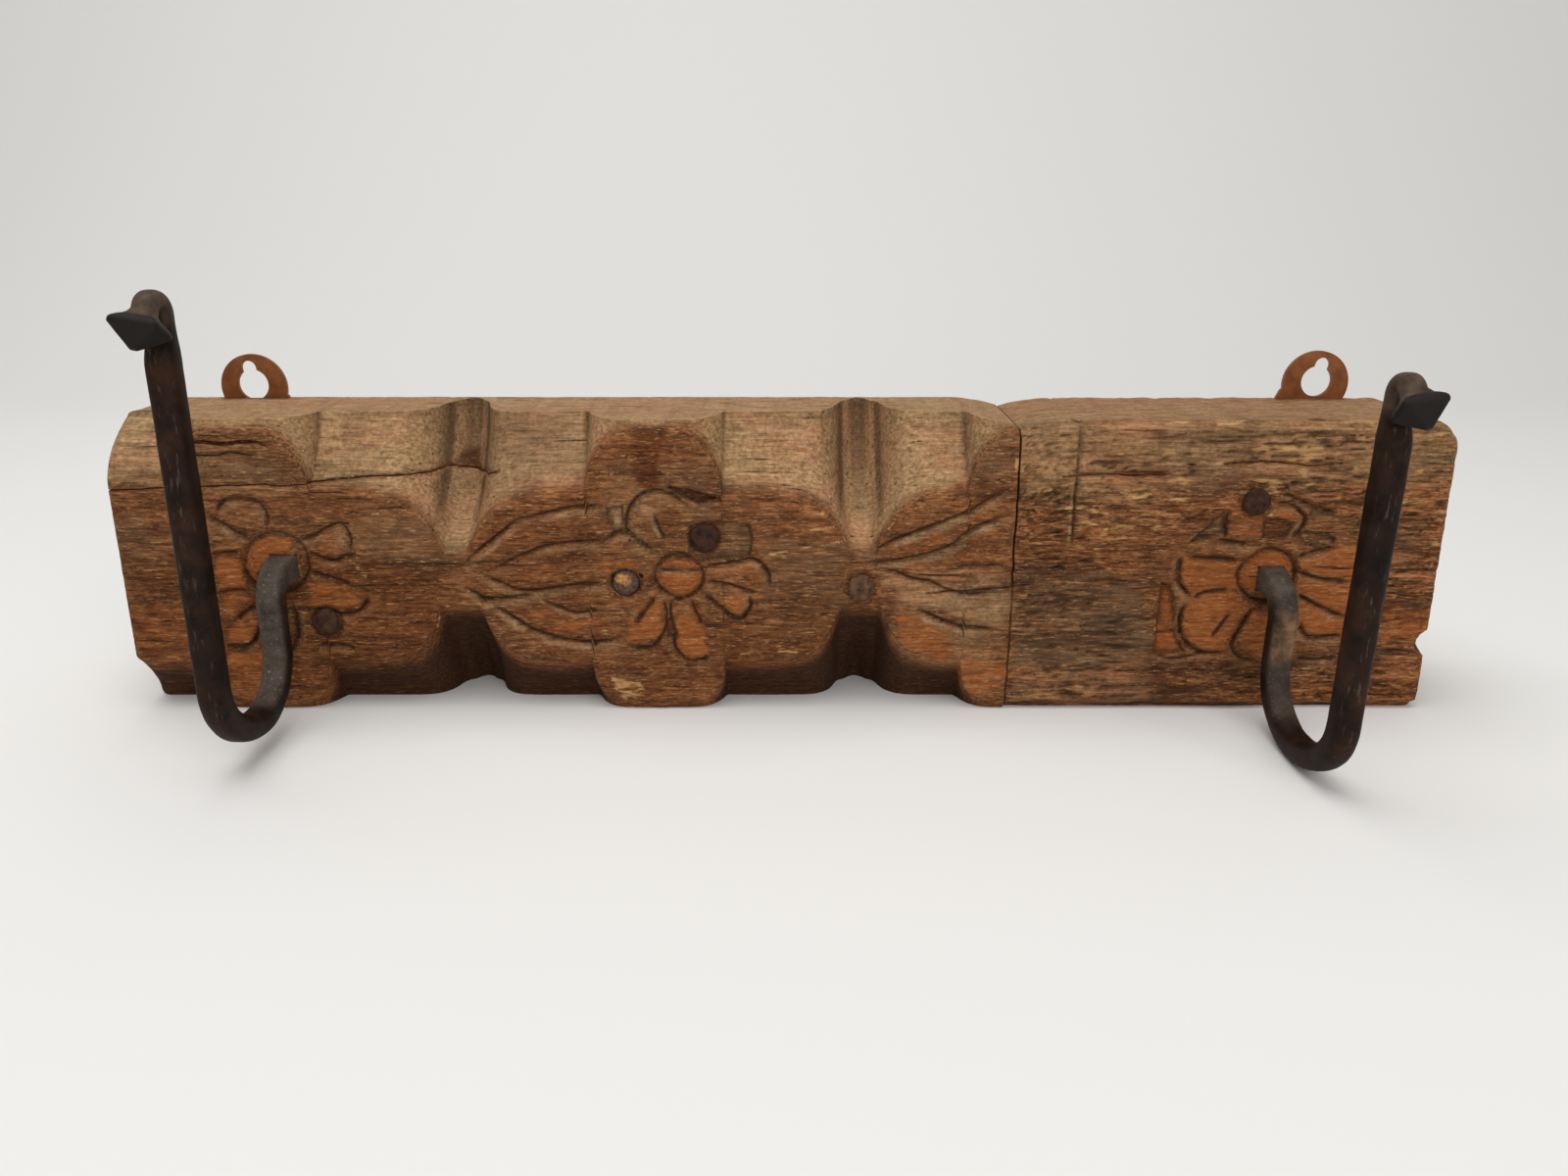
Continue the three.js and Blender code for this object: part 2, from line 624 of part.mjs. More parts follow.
// The bar's centre line in front of the face: out, height, width and thickness at each station.
function hookStations(hook) {
  const stations = [];
  const add = (out, height, wide = hook.bar, thick = hook.bar) => stations.push({ out, height, wide, thick });
  const arc = (out, height, radiusOut, radiusUp, from, to, steps) => {
    for (let i = 0; i <= steps; i++) {
      const angle = THREE.MathUtils.degToRad(mix(from, to, i / steps));
      add(out + radiusOut * Math.cos(angle), height + radiusUp * Math.sin(angle));
    }
  };
  const tip = hook.bar - 1.6;
  add(-tangDepth, 0, tip, tip);
  add(1.6 - tangDepth, 0);
  arc(hook.reach - hook.bendRadius, -hook.bendRadius, hook.bendRadius, hook.bendRadius, 90, 0, 5);
  const nearRadius = hook.span * bowlShare;
  const lowest = hook.reach + nearRadius;
  arc(lowest, -hook.drop, nearRadius, hook.bowlDepth, 180, 270, 7);
  const farDepth = hook.bowlDepth * (2 - 2 * bowlShare);
  arc(lowest, farDepth - hook.bowlDepth - hook.drop, hook.span - nearRadius, farDepth, 285, 360, 7);
  const legFoot = hook.reach + hook.span;
  const thinning = [0, 0.35, 0.7, 1];
  const thinStart = hook.rise - thinReach;
  for (const share of thinning) {
    const height = mix(thinStart, hook.rise, share);
    const lean = (hook.lean * (height + hook.drop)) / (hook.rise + hook.drop);
    const thick = mix(hook.bar, curlThickness, share);
    add(legFoot + lean - (hook.bar - thick) / 4, height, mix(hook.bar, curlWidth, share), thick);
  }
  const back = stations[stations.length - 1].out;
  const turnSteps = 8;
  for (let i = 1; i <= turnSteps; i++) {
    const angle = THREE.MathUtils.degToRad((hook.curlTurn * i) / turnSteps);
    const out = back + curlRadius * (1 - Math.cos(angle));
    add(out, hook.rise + curlRadius * Math.sin(angle), curlWidth, curlThickness);
  }
  addHead(stations, hook);
  return stations;
}

// The forged head at the end of the curl: a flare, a rim and a low four-sided point.
function addHead(stations, { headWidth, headTilt, curlTurn }) {
  const headHeight = headWidth * headHeightShare;
  const neck = stations[stations.length - 1];
  const angle = THREE.MathUtils.degToRad(90 - curlTurn);
  const flare = 4;
  const sizes = [
    [flare * 0.5, curlWidth * 1.15, curlThickness * 1.15],
    [flare, headWidth * 0.94, headHeight * 0.92],
    [flare + headRim / 2, headWidth, headHeight],
    [flare + headRim, headWidth * 0.96, headHeight * 0.95],
    [flare + headRim + headPoint, headWidth * 0.12, headHeight * 0.12],
  ];
  for (const [far, wide, thick] of sizes) {
    const out = neck.out + far * Math.cos(angle);
    const height = neck.height + far * Math.sin(angle);
    stations.push({ out, height, wide, thick, tilt: THREE.MathUtils.degToRad(headTilt), pivot: neck.height });
  }
}

function hookMesh(hook) {
  const stations = hookStations(hook);
  const corner = 0.24;
  const ring = [[1, 1 - 2 * corner], [1 - 2 * corner, 1], [2 * corner - 1, 1], [-1, 1 - 2 * corner]];
  const section = [...ring, ...ring.map(([u, v]) => [-u, -v])];
  const sections = stations.map((station, i) => {
    const before = stations[Math.max(i - 1, 0)];
    const after = stations[Math.min(i + 1, stations.length - 1)];
    const along = new THREE.Vector2(after.out - before.out, after.height - before.height).normalize();
    const rising = station.out > hook.reach + hook.span / 2 ? (station.height - hook.rise) / thinReach + 1 : 0;
    const side =
      hook.x
      + hook.sway * THREE.MathUtils.clamp(station.out / hook.span, 0, 1)
      + hook.topSway * THREE.MathUtils.clamp(rising, 0, 1);
    const { tilt = 0, pivot = 0 } = station;
    return section.map(([u, v]) => {
      const out = station.out - (along.y * v * station.thick) / 2;
      const height = station.height + (along.x * v * station.thick) / 2;
      const place = new THREE.Vector2((u * station.wide) / 2, height);
      place.rotateAround(new THREE.Vector2(0, pivot), -tilt);
      return new THREE.Vector3(side + place.x, faceY - out, hook.exitZ + place.y);
    });
  });
  return namedMesh(hook.name, loft(sections), forgedIron());
}

function plateMesh(plate) {
  const shape = plateShape(0);
  shape.holes.push(keyhole());
  const yFront = -(plateSink + plateThickness);
  let solid = solidOf(slab(shape, yFront, -plateSink, 9));
  for (const { x, z } of screwPlaces()) {
    const countersink = [
      [0, cutLift],
      [screwHead / 2 + fitGap, cutLift],
      [screwHead / 2 + fitGap, -plateSink - screwRim],
      [screwShank / 2 + fitGap, -plateSink - screwHeadDepth],
      [screwShank / 2 + fitGap, yFront - cutLift],
      [0, yFront - cutLift],
    ];
    solid = solid.subtract(solidOf(turned(countersink, x, z)));
  }
  return namedMesh("hanger_plate_" + plate.name, placePlate(geometryOf(solid), plate), copperedSteel());
}

function screwMesh(name, place, plate) {
  const headY = -plateSink;
  const tipY = headY - screwLength;
  const shank = screwShank / 2;
  const profile = [
    [0, headY],
    [screwHead / 2, headY],
    [screwHead / 2, headY - screwRim],
    [shank, headY - screwHeadDepth],
    [shank, tipY + 4],
    [0.3, tipY],
    [0, tipY],
  ];
  const slot = block(screwHead + 2, 1.4, 0.9, place.x, headY, place.z);
  const solid = solidOf(turned(profile, place.x, place.z, 16)).subtract(solidOf(slot));
  return namedMesh(name, placePlate(geometryOf(solid), plate), rustyIron());
}

function nailMesh(nail) {
  const seatY = faceY + nailSink - fitGap;
  const radius = nailHead / 2;
  const crown = [
    [0, seatY - nailHeadHeight],
    [radius * 0.5, seatY - nailHeadHeight * 0.9],
    [radius * 0.85, seatY - nailHeadHeight * 0.6],
    [radius, seatY - nailHeadHeight * 0.25],
    [radius, seatY],
    [0, seatY],
  ];
  const half = nailShank / 2;
  const square = (y, size) => [
    new THREE.Vector3(nail.x - size, y, nail.z - size),
    new THREE.Vector3(nail.x - size, y, nail.z + size),
    new THREE.Vector3(nail.x + size, y, nail.z + size),
    new THREE.Vector3(nail.x + size, y, nail.z - size),
  ];
  const shank = loft([square(seatY - nailHeadHeight / 2, half), square(faceY + nailLength, half / 4)]);
  return namedMesh(nail.name, geometryOf(solidOf(turned(crown, nail.x, nail.z)).add(solidOf(shank))), rustyIron());
}

function plugMesh() {
  const profile = [
    [0, faceY + 0.2],
    [plugRadius * 0.6, faceY + 0.6],
    [plugRadius, faceY + plugChamfer],
    [plugRadius, faceY + plugDepth],
    [0, faceY + plugDepth],
  ];
  return namedMesh("hole_plug", turned(profile, plugPlace.x, plugPlace.z), plugTimber());
}

function namedMesh(name, geometry, material) {
  const mesh = new THREE.Mesh(geometry, material);
  mesh.name = name;
  return mesh;
}

const rack = new THREE.Group();
rack.add(namedMesh("carved_board", geometryOf(carvedBoard()), oldTimber()));
rack.add(...hooks.map(hookMesh));
for (const plate of plates) {
  rack.add(plateMesh(plate));
  const [first, second] = screwPlaces();
  rack.add(screwMesh(`hanger_screw_${plate.name}_a`, first, plate));
  rack.add(screwMesh(`hanger_screw_${plate.name}_b`, second, plate));
}
rack.add(...nails.map(nailMesh));
rack.add(plugMesh());

export default rack;
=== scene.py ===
import functools
import math

import bmesh
import bpy
import numpy as np
from bmesh.types import BMEdge, BMVert
from mathutils import Matrix, Vector


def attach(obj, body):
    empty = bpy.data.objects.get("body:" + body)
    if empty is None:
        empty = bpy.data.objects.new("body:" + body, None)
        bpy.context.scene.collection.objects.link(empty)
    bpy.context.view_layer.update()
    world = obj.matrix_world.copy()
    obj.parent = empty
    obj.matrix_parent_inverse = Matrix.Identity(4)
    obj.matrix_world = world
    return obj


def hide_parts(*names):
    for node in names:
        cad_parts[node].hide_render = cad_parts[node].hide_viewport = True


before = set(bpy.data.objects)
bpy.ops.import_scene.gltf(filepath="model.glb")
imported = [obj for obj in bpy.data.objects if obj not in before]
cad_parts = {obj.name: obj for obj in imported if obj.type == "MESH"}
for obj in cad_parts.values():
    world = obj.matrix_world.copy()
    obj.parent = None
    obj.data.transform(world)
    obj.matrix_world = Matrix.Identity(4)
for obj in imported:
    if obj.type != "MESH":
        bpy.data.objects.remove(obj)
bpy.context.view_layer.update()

MM = 0.001
NO_LENGTH = 0.002  # an edge shorter than this is dissolved
TABLE_SIZE = 256  # chance values each way, for all that is rough or uneven

# Camera, fitted to the photograph
CAMERA_PLACE = (0.0015, -0.446, 0.1262)
CAMERA_DOWN = 18.5  # degrees below the horizontal
CAMERA_LENS = 27.45
CAMERA_SENSOR = 36

# Studio, in metres and watts
FLOOR_COLOUR = (0.82, 0.81, 0.79, 1)
FLOOR_HALF = 9.0  # its half width, and how far it reaches to the front
SWEEP_RADIUS = 0.6
BACKDROP_RISE = 2.0  # straight up above the sweep
LAMPS = [  # name, place, width and height, power
    ("soft_overhead", (-0.25, -0.15, 1.3), (1.4, 1.0), 11.5),
    ("soft_front", (0.55, -1.7, 0.95), (1.4, 1.1), 12.8),
]
WORLD_COLOUR = (1.0, 0.99, 0.97, 1)
WORLD_STRENGTH = 0.42

# Board
LENGTH = 461.0
HEIGHT = 105.0
THICKNESS = 50.0
TOP = HEIGHT / 2
FACE = -THICKNESS
END = LENGTH / 2
WORN_EDGE = 3.2
END_ROUND = 2.5
CORNER_ROUND = 4.0
WORN_CORNER = 10.0  # the top corner at the right
RIM_LEAST = 1.5  # between a cove and the edge it runs out to
END_LEAN = 1.5
END_LEAN_REACH = 20.0
FIT_GAP = 0.3

# Scalloped carving
KERF = 81.2
KERF_HALF = 0.4
KERF_WALL = 0.06  # how far a kerf wall leans
KERF_DEPTH = 5.0
KERF_LOW_DEPTH = 0.9
KERF_TOP_DEPTH = 5.0
KERF_DIP = 3.0
KERF_DIP_REACH = 19.0
SCORE = 101.0  # a shallow line beside the kerf
SCORE_DEPTH = 0.9
LOBES = (-184.0, -43.0, 88.0)
LOBE_HALF = 23.5
COLUMNS = (-112.5, 28.5)
TOP_COVE_HEIGHT = 25.0
TOP_COVE_DEPTH = 18.0
TOP_LOBE_DROP = 3.0
TOP_COLUMN_DROP = 22.0
BOTTOM_COVE_HEIGHT = 19.5
BOTTOM_COVE_DEPTH = 13.0
BOTTOM_LOBE_DROP = 1.6
BOTTOM_COLUMN_RISE = 20.0
BOTTOM_COLUMN_DEPTH = 19.0
COLUMN_LAND = 2.5
COLUMN_SPREAD = 9.0
BEAD_HALF = 4.0
REED_WIDTH = 6.0
REED_DEPTH = 3.2
COVE_ROUNDNESS = 1.6
BEVEL_END = -207.5
BEVEL_DEPTH = 20.0
BEVEL_ROUNDNESS = 2.4
RAGGED = (0.7, 0.25)  # how uneven the coves' lines run: left of the kerf, and right of it
CHIPPED = (0.12, 0.45)  # how chipped the top edge is, the same
LEAST_WOOD = 1.2  # left behind the deepest cut

# Mesh of the board's front
ACROSS = 616  # steps along the board
UP = 132  # steps up the front
CARVED_ROWS = (16, 24)  # of those, steps in the bottom and in the top cove
PLAIN_ROWS = (5, 7)  # the same where the edges are plain
END_STEPS = (0, 0.3, 0.9, 1.6)  # places of the first steps from each end
END_STRIP = 2.4  # which they take up
BACK_STEPS = 6  # from the front's rim to the back
BACK_INSET = (0.994, 1, 0.974)  # of the ring inside the back's rim
BACK_MARKS = {"dry_and_lit": 0.45, "stain_and_shade": 0.15, "grey": 0.5}
END_TURN = 2.2  # width of the round between the front and an end
CLOSER = 0.7  # how much closer the steps lie across a flower
FLOWER_REACH = 30.0
MARKS = ("recess_shade", "ochre", "stain_and_shade", "dry_and_lit", "grey", "rubbed", "kept")

# Carving on the face: places are (x, z)
GROOVE_WIDTH = 4.4
GROOVE_DEPTH = 2.3
VEIN_WIDTH = 2.6
VEIN_DEPTH = 1.3
STEEP = 0.2  # share of a groove's width on its steep side, left of the line
HEARTS = [(-175.5, 2.5, 11.0), (-35.2, -2.0, 8.2), (170.0, -2.5, 9.5)]  # x, z, radius
HEART_DEPTH = 2.6
GRAIN = [(42, 2.6, 1.0, 32), (60, 4.5, 0.8, 36), (26, 1.9, 0.6, 40)]  # how long, how tall, depth, seed
EVERYWHERE = slice(None)
PETAL_LINES = [
    [(-196, 19.5), (-191, 16.5), (-187, 13.5), (-183, 11)],
    [(-193.5, 20), (-190, 25), (-183, 26), (-178, 24), (-176, 19), (-176.5, 15)],
    [(-197, 6), (-192, 6.3), (-187.5, 6.6)],
    [(-197, -8), (-192, -7.2), (-186.5, -6.8)],
    [(-192, -18.5), (-188, -15), (-184, -12.5)],
    [(-197, -28), (-190, -28.3), (-186, -25), (-183.5, -19)],
    [(-180, -12), (-181, -24), (-176, -31), (-171, -24), (-171, -12)],
    [(-166.5, 10.5), (-160, 13), (-155.5, 15.5), (-151, 16.5), (-148.5, 12), (-149, 6.5)],
    [(-164, 6.5), (-156, 3.6), (-151, 4.8), (-147, 6.5)],
    [(-164, -0.5), (-162, -1), (-156, -3), (-150, -5)],
    [(-166, -14), (-158, -15.8), (-151, -16), (-146.5, -13.5), (-144.5, -9)],
    [(-165, -28), (-158, -27.7), (-151, -29)],
    [(-27, 1.2), (-20, 2.2), (-14, 3.2), (-9, 3.8), (-4.5, 0), (-3.2, -6)],
    [(-25.5, -3.8), (-19, -5), (-13, -7), (-8, -8.3)],
    [(-10.5, -9), (-10.3, -13.5), (-13.5, -18), (-18, -16.5), (-23, -12), (-27, -8.5)],
    [(-43.5, 8.6), (-47.5, 9.2), (-52.5, 14.5), (-52, 21), (-48, 26.5), (-42, 28.5), (-36, 26.5),
        (-31, 22.5)],
    [(-61, 10.5), (-55, 14), (-50, 11.5), (-44, 7.5)],
    [(-43.5, -10), (-47, -14.5), (-51, -20)],
    [(-40.5, -11), (-40, -17), (-41.5, -24), (-46.5, -29), (-54, -28)],
    [(-31, -11.5), (-29.5, -16), (-27.5, -20.5)],
    [(-37.5, -23), (-37, -29), (-33, -33.5), (-28, -33.5), (-24.5, -31.5)],
    [(179.5, 4.8), (186, 6.8), (192, 8.5)],
    [(180.5, -0.6), (188, -3), (197, -4)],
    [(181, -8.3), (187, -12), (193.5, -15), (199, -17)],
    [(184, -19.5), (186, -23.5), (190.5, -25), (199, -24)],
    [(151, 11.2), (156, 10.3), (162, 9.5)],
    [(154, 21.5), (153.6, 17), (154, 11.5)],
    [(169, 24.5), (176, 23), (180.5, 19), (180, 15), (176.5, 11)],
    [(171, 28), (176, 25.8), (184, 22.5), (191, 20.5)],
    [(142, 4.8), (150, 4.2), (159.5, 3.6)],
    [(139.3, 5), (139.8, -4), (144.5, -10)],
    [(145, -10.5), (149, -8.3), (157.5, -6.8)],
    [(143.5, -12), (141.5, -17), (142.5, -24), (147, -29), (152, -30.8), (160, -30.5)],
    [(166.5, -14), (163.5, -21), (161, -27.5), (164, -32.5), (170, -33.5)],
    [(184, -33), (191, -33.5), (199, -32.7)],
]
LEAF_LINES = [
    [(-109, 3), (-106, 6), (-100, 10.5), (-95, 14.5), (-90, 18), (-80, 20.5), (-70, 22.7), (-58, 23.5)],
    [(-99, 0.5), (-95, 3), (-88, 6), (-80, 9), (-70, 10.3), (-61.5, 10.8)],
    [(-103, -1.5), (-97, -5), (-90, -7.5), (-80, -6.8), (-70, -5), (-61.5, -4.6)],
    [(-110, -6), (-106, -9), (-103, -10.5), (-95, -10.2), (-86, -9.3)],
    [(-101, -12.5), (-96, -16), (-90, -20.5), (-85, -23), (-78, -25.5), (-70, -26.8), (-63, -26.5),
        (-56, -25)],
    [(31, 6.5), (36, 9), (42, 12), (50, 15), (60, 19), (68, 23), (78, 29.5)],
    [(30, 3), (36, 3), (45, 4.5), (52, 6), (60, 9.5), (64, 13), (70, 16.5), (80, 20.3)],
    [(34, 1), (40, -0.5), (46, -3), (53, -4.5), (58, -7), (63, -8), (70, -7.3), (80, -6)],
    [(49, -14.5), (55, -17.5), (60, -19.8), (66, -21), (75, -21.5)],
]
VEINS = [
    [(-38.3, -11.5), (-38.5, -15), (-38.4, -18)],
    [(-43.2, 20), (-41.5, 15), (-39.5, 11.2)],
    [(158.5, -16), (155.5, -21), (153, -25)],
    [(-84, -10.5), (-79, -13), (-72, -15.5), (-66, -15), (-62, -14.5)],
    [(61, 0.8), (66, 1.6), (72, 1.8), (79.5, 2.2)],
    [(61, -9.2), (70, -9), (79.5, -8.5)],
    [(-42.5, -0.4), (-36, 0.2), (-28, -0.4)],
    [(132, -31.3), (141, -33), (150, -31.4), (160, -31)],
]
# Places between the petals, cut flat: depth, the mark that tints the floor, and the corners
NOTCHES = [
    (2.2, "stain_and_shade", [(-40, 30.5), (-30, 29), (-19, 25.5), (-28, 23.5), (-35, 27)]),
    (1.9, "dry_and_lit", [(-59.5, 22.5), (-53.5, 23.5), (-53.5, 16), (-57.5, 14)]),
    (2.0, "stain_and_shade", [(-40.5, -18), (-38, -17.5), (-35.5, -25), (-40, -25.5)]),
    (1.5, "grey", [(-31, 16), (-21, 18), (-10.5, 17), (-9, 11), (-10, 5.2), (-28, 2.8), (-31.5, 7)]),
    (2.2, "grey", [(140.5, 9.5), (153, 21.5), (153, 12.5), (149, 11.5)]),
    (1.4, "stain_and_shade", [(166, 18.8), (171, 19.2), (177.5, 16), (175, 12), (166.5, 11.5)]),
    (1.5, "grey", [(178, 11.5), (181, 14.5), (192, 12), (192, 9.6), (186, 7.8)]),
    (1.3, "grey", [(183, 22), (191, 19.5), (183, 18.8), (181.5, 20)]),
    (2.6, "ochre", [(133.5, -4.5), (137, -5.5), (139, -11), (140, -18), (141, -25), (145, -30.8),
        (133, -31.5)]),
]
# Cracks open by a blade's width: how deep, how wide, and their way along the grain
CRACKS = [
    (2.6, 0.55, [(-233, 28.5), (-214, 29.5), (-196, 30), (-178, 31), (-170, 30.5), (-160, 31), (-150, 32)]),
    (2.2, 0.4, [(-151, 31.8), (-132, 32.5), (-118.5, 31.5), (-116, 30.5), (-110, 29.7), (-106, 30),
        (-98, 33)]),
    (1.8, 0.5, [(52, -8.4), (64, -7.6), (75, -6.8), (83, -5.4), (88, -5)]),
    (1.6, 0.4, [(122, -6.9), (128, -6.3), (134, -5.9), (137, -6.2)]),
    (1.6, 0.4, [(150, 38), (163, 38.6), (178, 37.6), (190, 38.2)]),
    (2.4, 1.5, [(-204, 45.4), (-195, 46.2), (-187, 45.2), (-179, 46.0), (-172, 44.6)]),
    (1.4, 0.5, [(-204, 41.5), (-193, 41.1), (-184, 41.8), (-177, 41)]),
    (1.8, 0.4, [(96, 33.5), (110, 34.4), (121, 33.8), (133, 34.6)]),
    (1.6, 0.4, [(205, -9), (214, -8.2), (222, -9.2), (233, -8.6)]),
]
SCRATCHES = [
    [(-4, 5.8), (8, 8.2), (22.6, 10.8)],
    [(7, 14.1), (19.2, 15.7)],
    [(0.7, 19.3), (14.9, 20.4)],
    [(-140, 20), (-131, 21.4), (-126, 21)],
]
# Tints on the face, by mark: strength, how ragged the edge is, and the corners
ZONES = {
    "ochre": [
        (0.9, 0.3, [(-43, -1), (-27.5, -1), (-28, -6), (-32, -9.5), (-38, -9.5), (-42.5, -6)]),
        (0.4, 0.5, [(-43, -1), (-27.5, -1), (-29, 3), (-35, 6), (-41, 4)]),
        (0.85, 0.4, [(-25, -9.5), (-12, -9), (-11, -13.5), (-14, -17.5), (-18, -15.5)]),
        (0.35, 0.8, [(-25, 0), (-10, 2.5), (-5, -1), (-5, -6), (-13, -6), (-24, -3)]),
        (0.65, 0.9, [(-54, -18), (-45, -11), (-41, -12), (-41, -24), (-46, -28.5), (-54, -27.5)]),
        (0.8, 0.6, [(-37, -18), (-31, -13), (-27.5, -20.5), (-25, -31), (-28, -33), (-33, -33),
            (-37, -28)]),
        (0.5, 1.6, [(-62, -1), (-50, 0), (-51, 4), (-62, 4)]),
        (0.75, 0.6, [(-196, -6.5), (-187, -6), (-187.5, 5.5), (-196, 5.5)]),
        (0.7, 0.6, [(-196, -27), (-188, -27), (-184, -21), (-185, -14), (-192, -18)]),
        (0.5, 0.6, [(-196, -17), (-192, -17), (-184, -11), (-187, -8), (-196, -8)]),
        (0.6, 1.0, [(-197, -30), (-184, -30), (-180, -45), (-197, -46)]),
        (0.9, 0.5, [(-185, 8), (-176, 13), (-168, 10), (-170, 6), (-180, 3), (-184, -4), (-187, 1)]),
        (0.35, 0.8, [(-164, 6), (-155, 15), (-149, 11), (-150, 6)]),
        (0.55, 0.8, [(-165, -4), (-150, -6), (-145, -9), (-149, -14), (-165, -13)]),
        (0.75, 0.5, [(139.5, 4.5), (160, 3.5), (161, -5), (150, -8), (144, -10), (140.5, -5)]),
        (0.9, 0.4, [(143, -12), (150, -9), (158, -8), (166, -14), (161, -27), (157, -30), (149, -29),
            (143, -24)]),
        (0.8, 0.5, [(180, 4), (192, 8), (202, 9), (202, -3), (188, -2), (181, 0)]),
        (0.9, 0.4, [(181, -2), (188, -4.5), (202, -5.5), (202, -16), (193, -14), (187, -11), (181, -7.5)]),
        (0.85, 0.5, [(182, -10), (192, -16), (202, -18.5), (202, -23), (190, -24), (186, -22.5),
            (183, -18)]),
        (0.6, 0.7, [(166, -15), (176, -16), (176, -32), (165, -31.5), (162, -27)]),
        (0.5, 0.7, [(154, 21), (155, 26), (159, 28), (166, 22), (165.5, 12), (155, 12)]),
        (0.7, 0.5, [(168, 24), (176, 22.5), (180, 19), (178, 17), (171, 19.5)]),
        (0.95, 0.3, [(161, 3), (166, 7), (174, 7), (179, 3), (179, -1), (167, -1), (167, -7), (160.5, -7)]),
        (0.6, 1.2, [(133, -26), (133, -31.5), (160, -31.5), (160, -28.5), (146, -29)]),
        (0.6, 1.5, [(40, -15), (62, -20), (60, -34), (48, -32), (42, -24)]),
        (0.55, 1.5, [(62, -35), (81, -35), (81, -46), (64, -45)]),
        (0.8, 1.6, [(212, -12), (231, -14), (231, -26), (213, -24)]),
        (0.5, 2.0, [(-90, -12), (-66, -17), (-62, -22), (-78, -23), (-92, -17)]),
        (0.35, 2.0, [(-205, -12), (-197, -12), (-197, -44), (-226, -40), (-228, -14)]),
        (0.3, 3.0, [(36, 10), (80, 26), (80, -6), (50, -4), (36, 0)]),
    ],
    "rubbed": [
        (1.0, 1.4, [(163, 47), (190, 46), (189, 39), (178, 37), (180, 29), (176, 37), (166, 41)]),
        (0.7, 1.4, [(108, 44), (124, 44), (124, 41), (112, 40)]),
        (0.6, 1.4, [(156, 43.5), (166, 43), (166, 41.5), (156, 41.5)]),
        (0.6, 1.2, [(109, 27), (113, 27), (113, 15), (109, 16)]),
        (0.7, 1.2, [(224, 20), (231, 21), (231, 8), (226, 8)]),
        (0.8, 1.0, [(-149, -3), (-144, -3), (-143, 1), (-148, 3)]),
        (0.8, 1.2, [(-64, -21), (-60, -21), (-60, -25.5), (-64, -25.5)]),
        (0.9, 1.4, [(-61, -39), (-50, -42), (-46, -50), (-58, -49)]),
        (0.8, 1.6, [(-16, -32), (6, -27), (10, -30), (-4, -34)]),
        (0.7, 1.0, [(-61, 45), (-50, 48), (-49, 50), (-60, 48)]),
        (0.5, 1.8, [(2, -9), (20, -6), (20, -10), (4, -13)]),
        (0.5, 2.0, [(55, 47), (80, 44), (80, 41), (58, 45)]),
    ],
    "stain_and_shade": [
        (0.95, 1.2, [(-50, 48), (-39, 48), (-40, 34), (-44, 28), (-49, 32)]),
        (0.28, 1.6, [(-66, 30), (-60, 41), (-50, 47), (-38, 47), (-28, 39), (-22, 31), (-40, 30)]),
        (0.5, 1.6, [(-41, 12), (-33, 13), (-31, 22), (-40, 25)]),
        (0.4, 1.6, [(-196, 46), (-172, 44), (-166, 38), (-180, 38), (-197, 41)]),
        (0.3, 1.8, [(-200, 36), (-172, 35), (-168, 31), (-200, 31)]),
        (0.5, 2.0, [(-170, 28), (-148, 29), (-146, 18), (-156, 20), (-168, 22)]),
        (0.7, 0.8, [(-115.5, 36), (-109.5, 36), (-109, 30.5), (-116, 30.5)]),
        # Darker towards the bottom of the face: stain, and painted shade
        (0.68, 3.0, [(-229, 5), (-150, 5), (-118, -2), (-118, -46), (-229, -46)]),
        (0.42, 3.0, [(-104, 16), (-66, 20), (-60, -26), (-60, -48), (-84, -32), (-104, -10)]),
        (0.5, 3.0, [(-52, -26), (16, -6), (24, -20), (12, -36), (-52, -50)]),
    ],
    "grey": [
        (0.9, 2.5, [(84, -3), (128, -4), (132, -31), (110, -38), (84, -34)]),
        (0.6, 2.5, [(-5, 12), (24, 8), (24, -20), (4, -24), (-4, -10)]),
        (0.55, 3.0, [(-106, 52), (-70, 52), (-68, 36), (-90, 26), (-106, 26)]),
        (0.55, 2.0, [(128, 50), (164, 50), (164, 44), (128, 44)]),
        (0.6, 2.0, [(60, 48), (80, 46), (80, 33), (66, 33)]),
        (0.6, 1.6, [(-229, 18), (-218, 20), (-216, -6), (-229, -10)]),
        (0.5, 2.0, [(202, 20), (222, 20), (218, 2), (202, 4)]),
    ],
    "dry_and_lit": [
        (0.68, 2.5, [(36, -3), (80, -4), (80, -20), (58, -17), (44, -12)]),
        (0.38, 2.0, [(-200, 46), (-172, 44), (-168, 28), (-200, 26)]),
        (0.22, 2.0, [(-60, 38), (-24, 38), (-24, 20), (-58, 18)]),
        (0.20, 3.0, [(-160, 20), (-116, 20), (-118, 4), (-150, 4)]),
        (0.30, 3.0, [(40, -22), (76, -22), (76, -42), (44, -40)]),
        (0.28, 3.0, [(84, -32), (132, -32), (132, -50), (84, -50)]),
        (0.75, 3.0, [(84, 48), (112, 46), (112, 30), (84, 28)]),
        (0.9, 2.0, [(-231, 52), (-209, 52), (-208, 33), (-231, 30)]),
    ],
}

# Nails: place, x, z and how brown the rust is
NAILS = [
    ("left", -160.0, -19.0, 0.25),
    ("flower", -26.0, 11.5, 0.0),
    ("column", 28.5, -6.5, 1.0),
    ("right", 163.0, 24.5, 0.1),
]
NAIL_HEAD = 10.0
NAIL_HEAD_HEIGHT = 1.8
NAIL_SINK = 1.0
NAIL_SHANK = 3.6
NAIL_LENGTH = 30.0
# A nail head from the middle outwards: how far, and how high, as shares
NAIL_PROFILE = [(0, 1), (0.2, 0.99), (0.42, 0.95), (0.64, 0.86), (0.82, 0.66), (0.94, 0.42), (1, 0.2),
                (0.99, 0.02)]

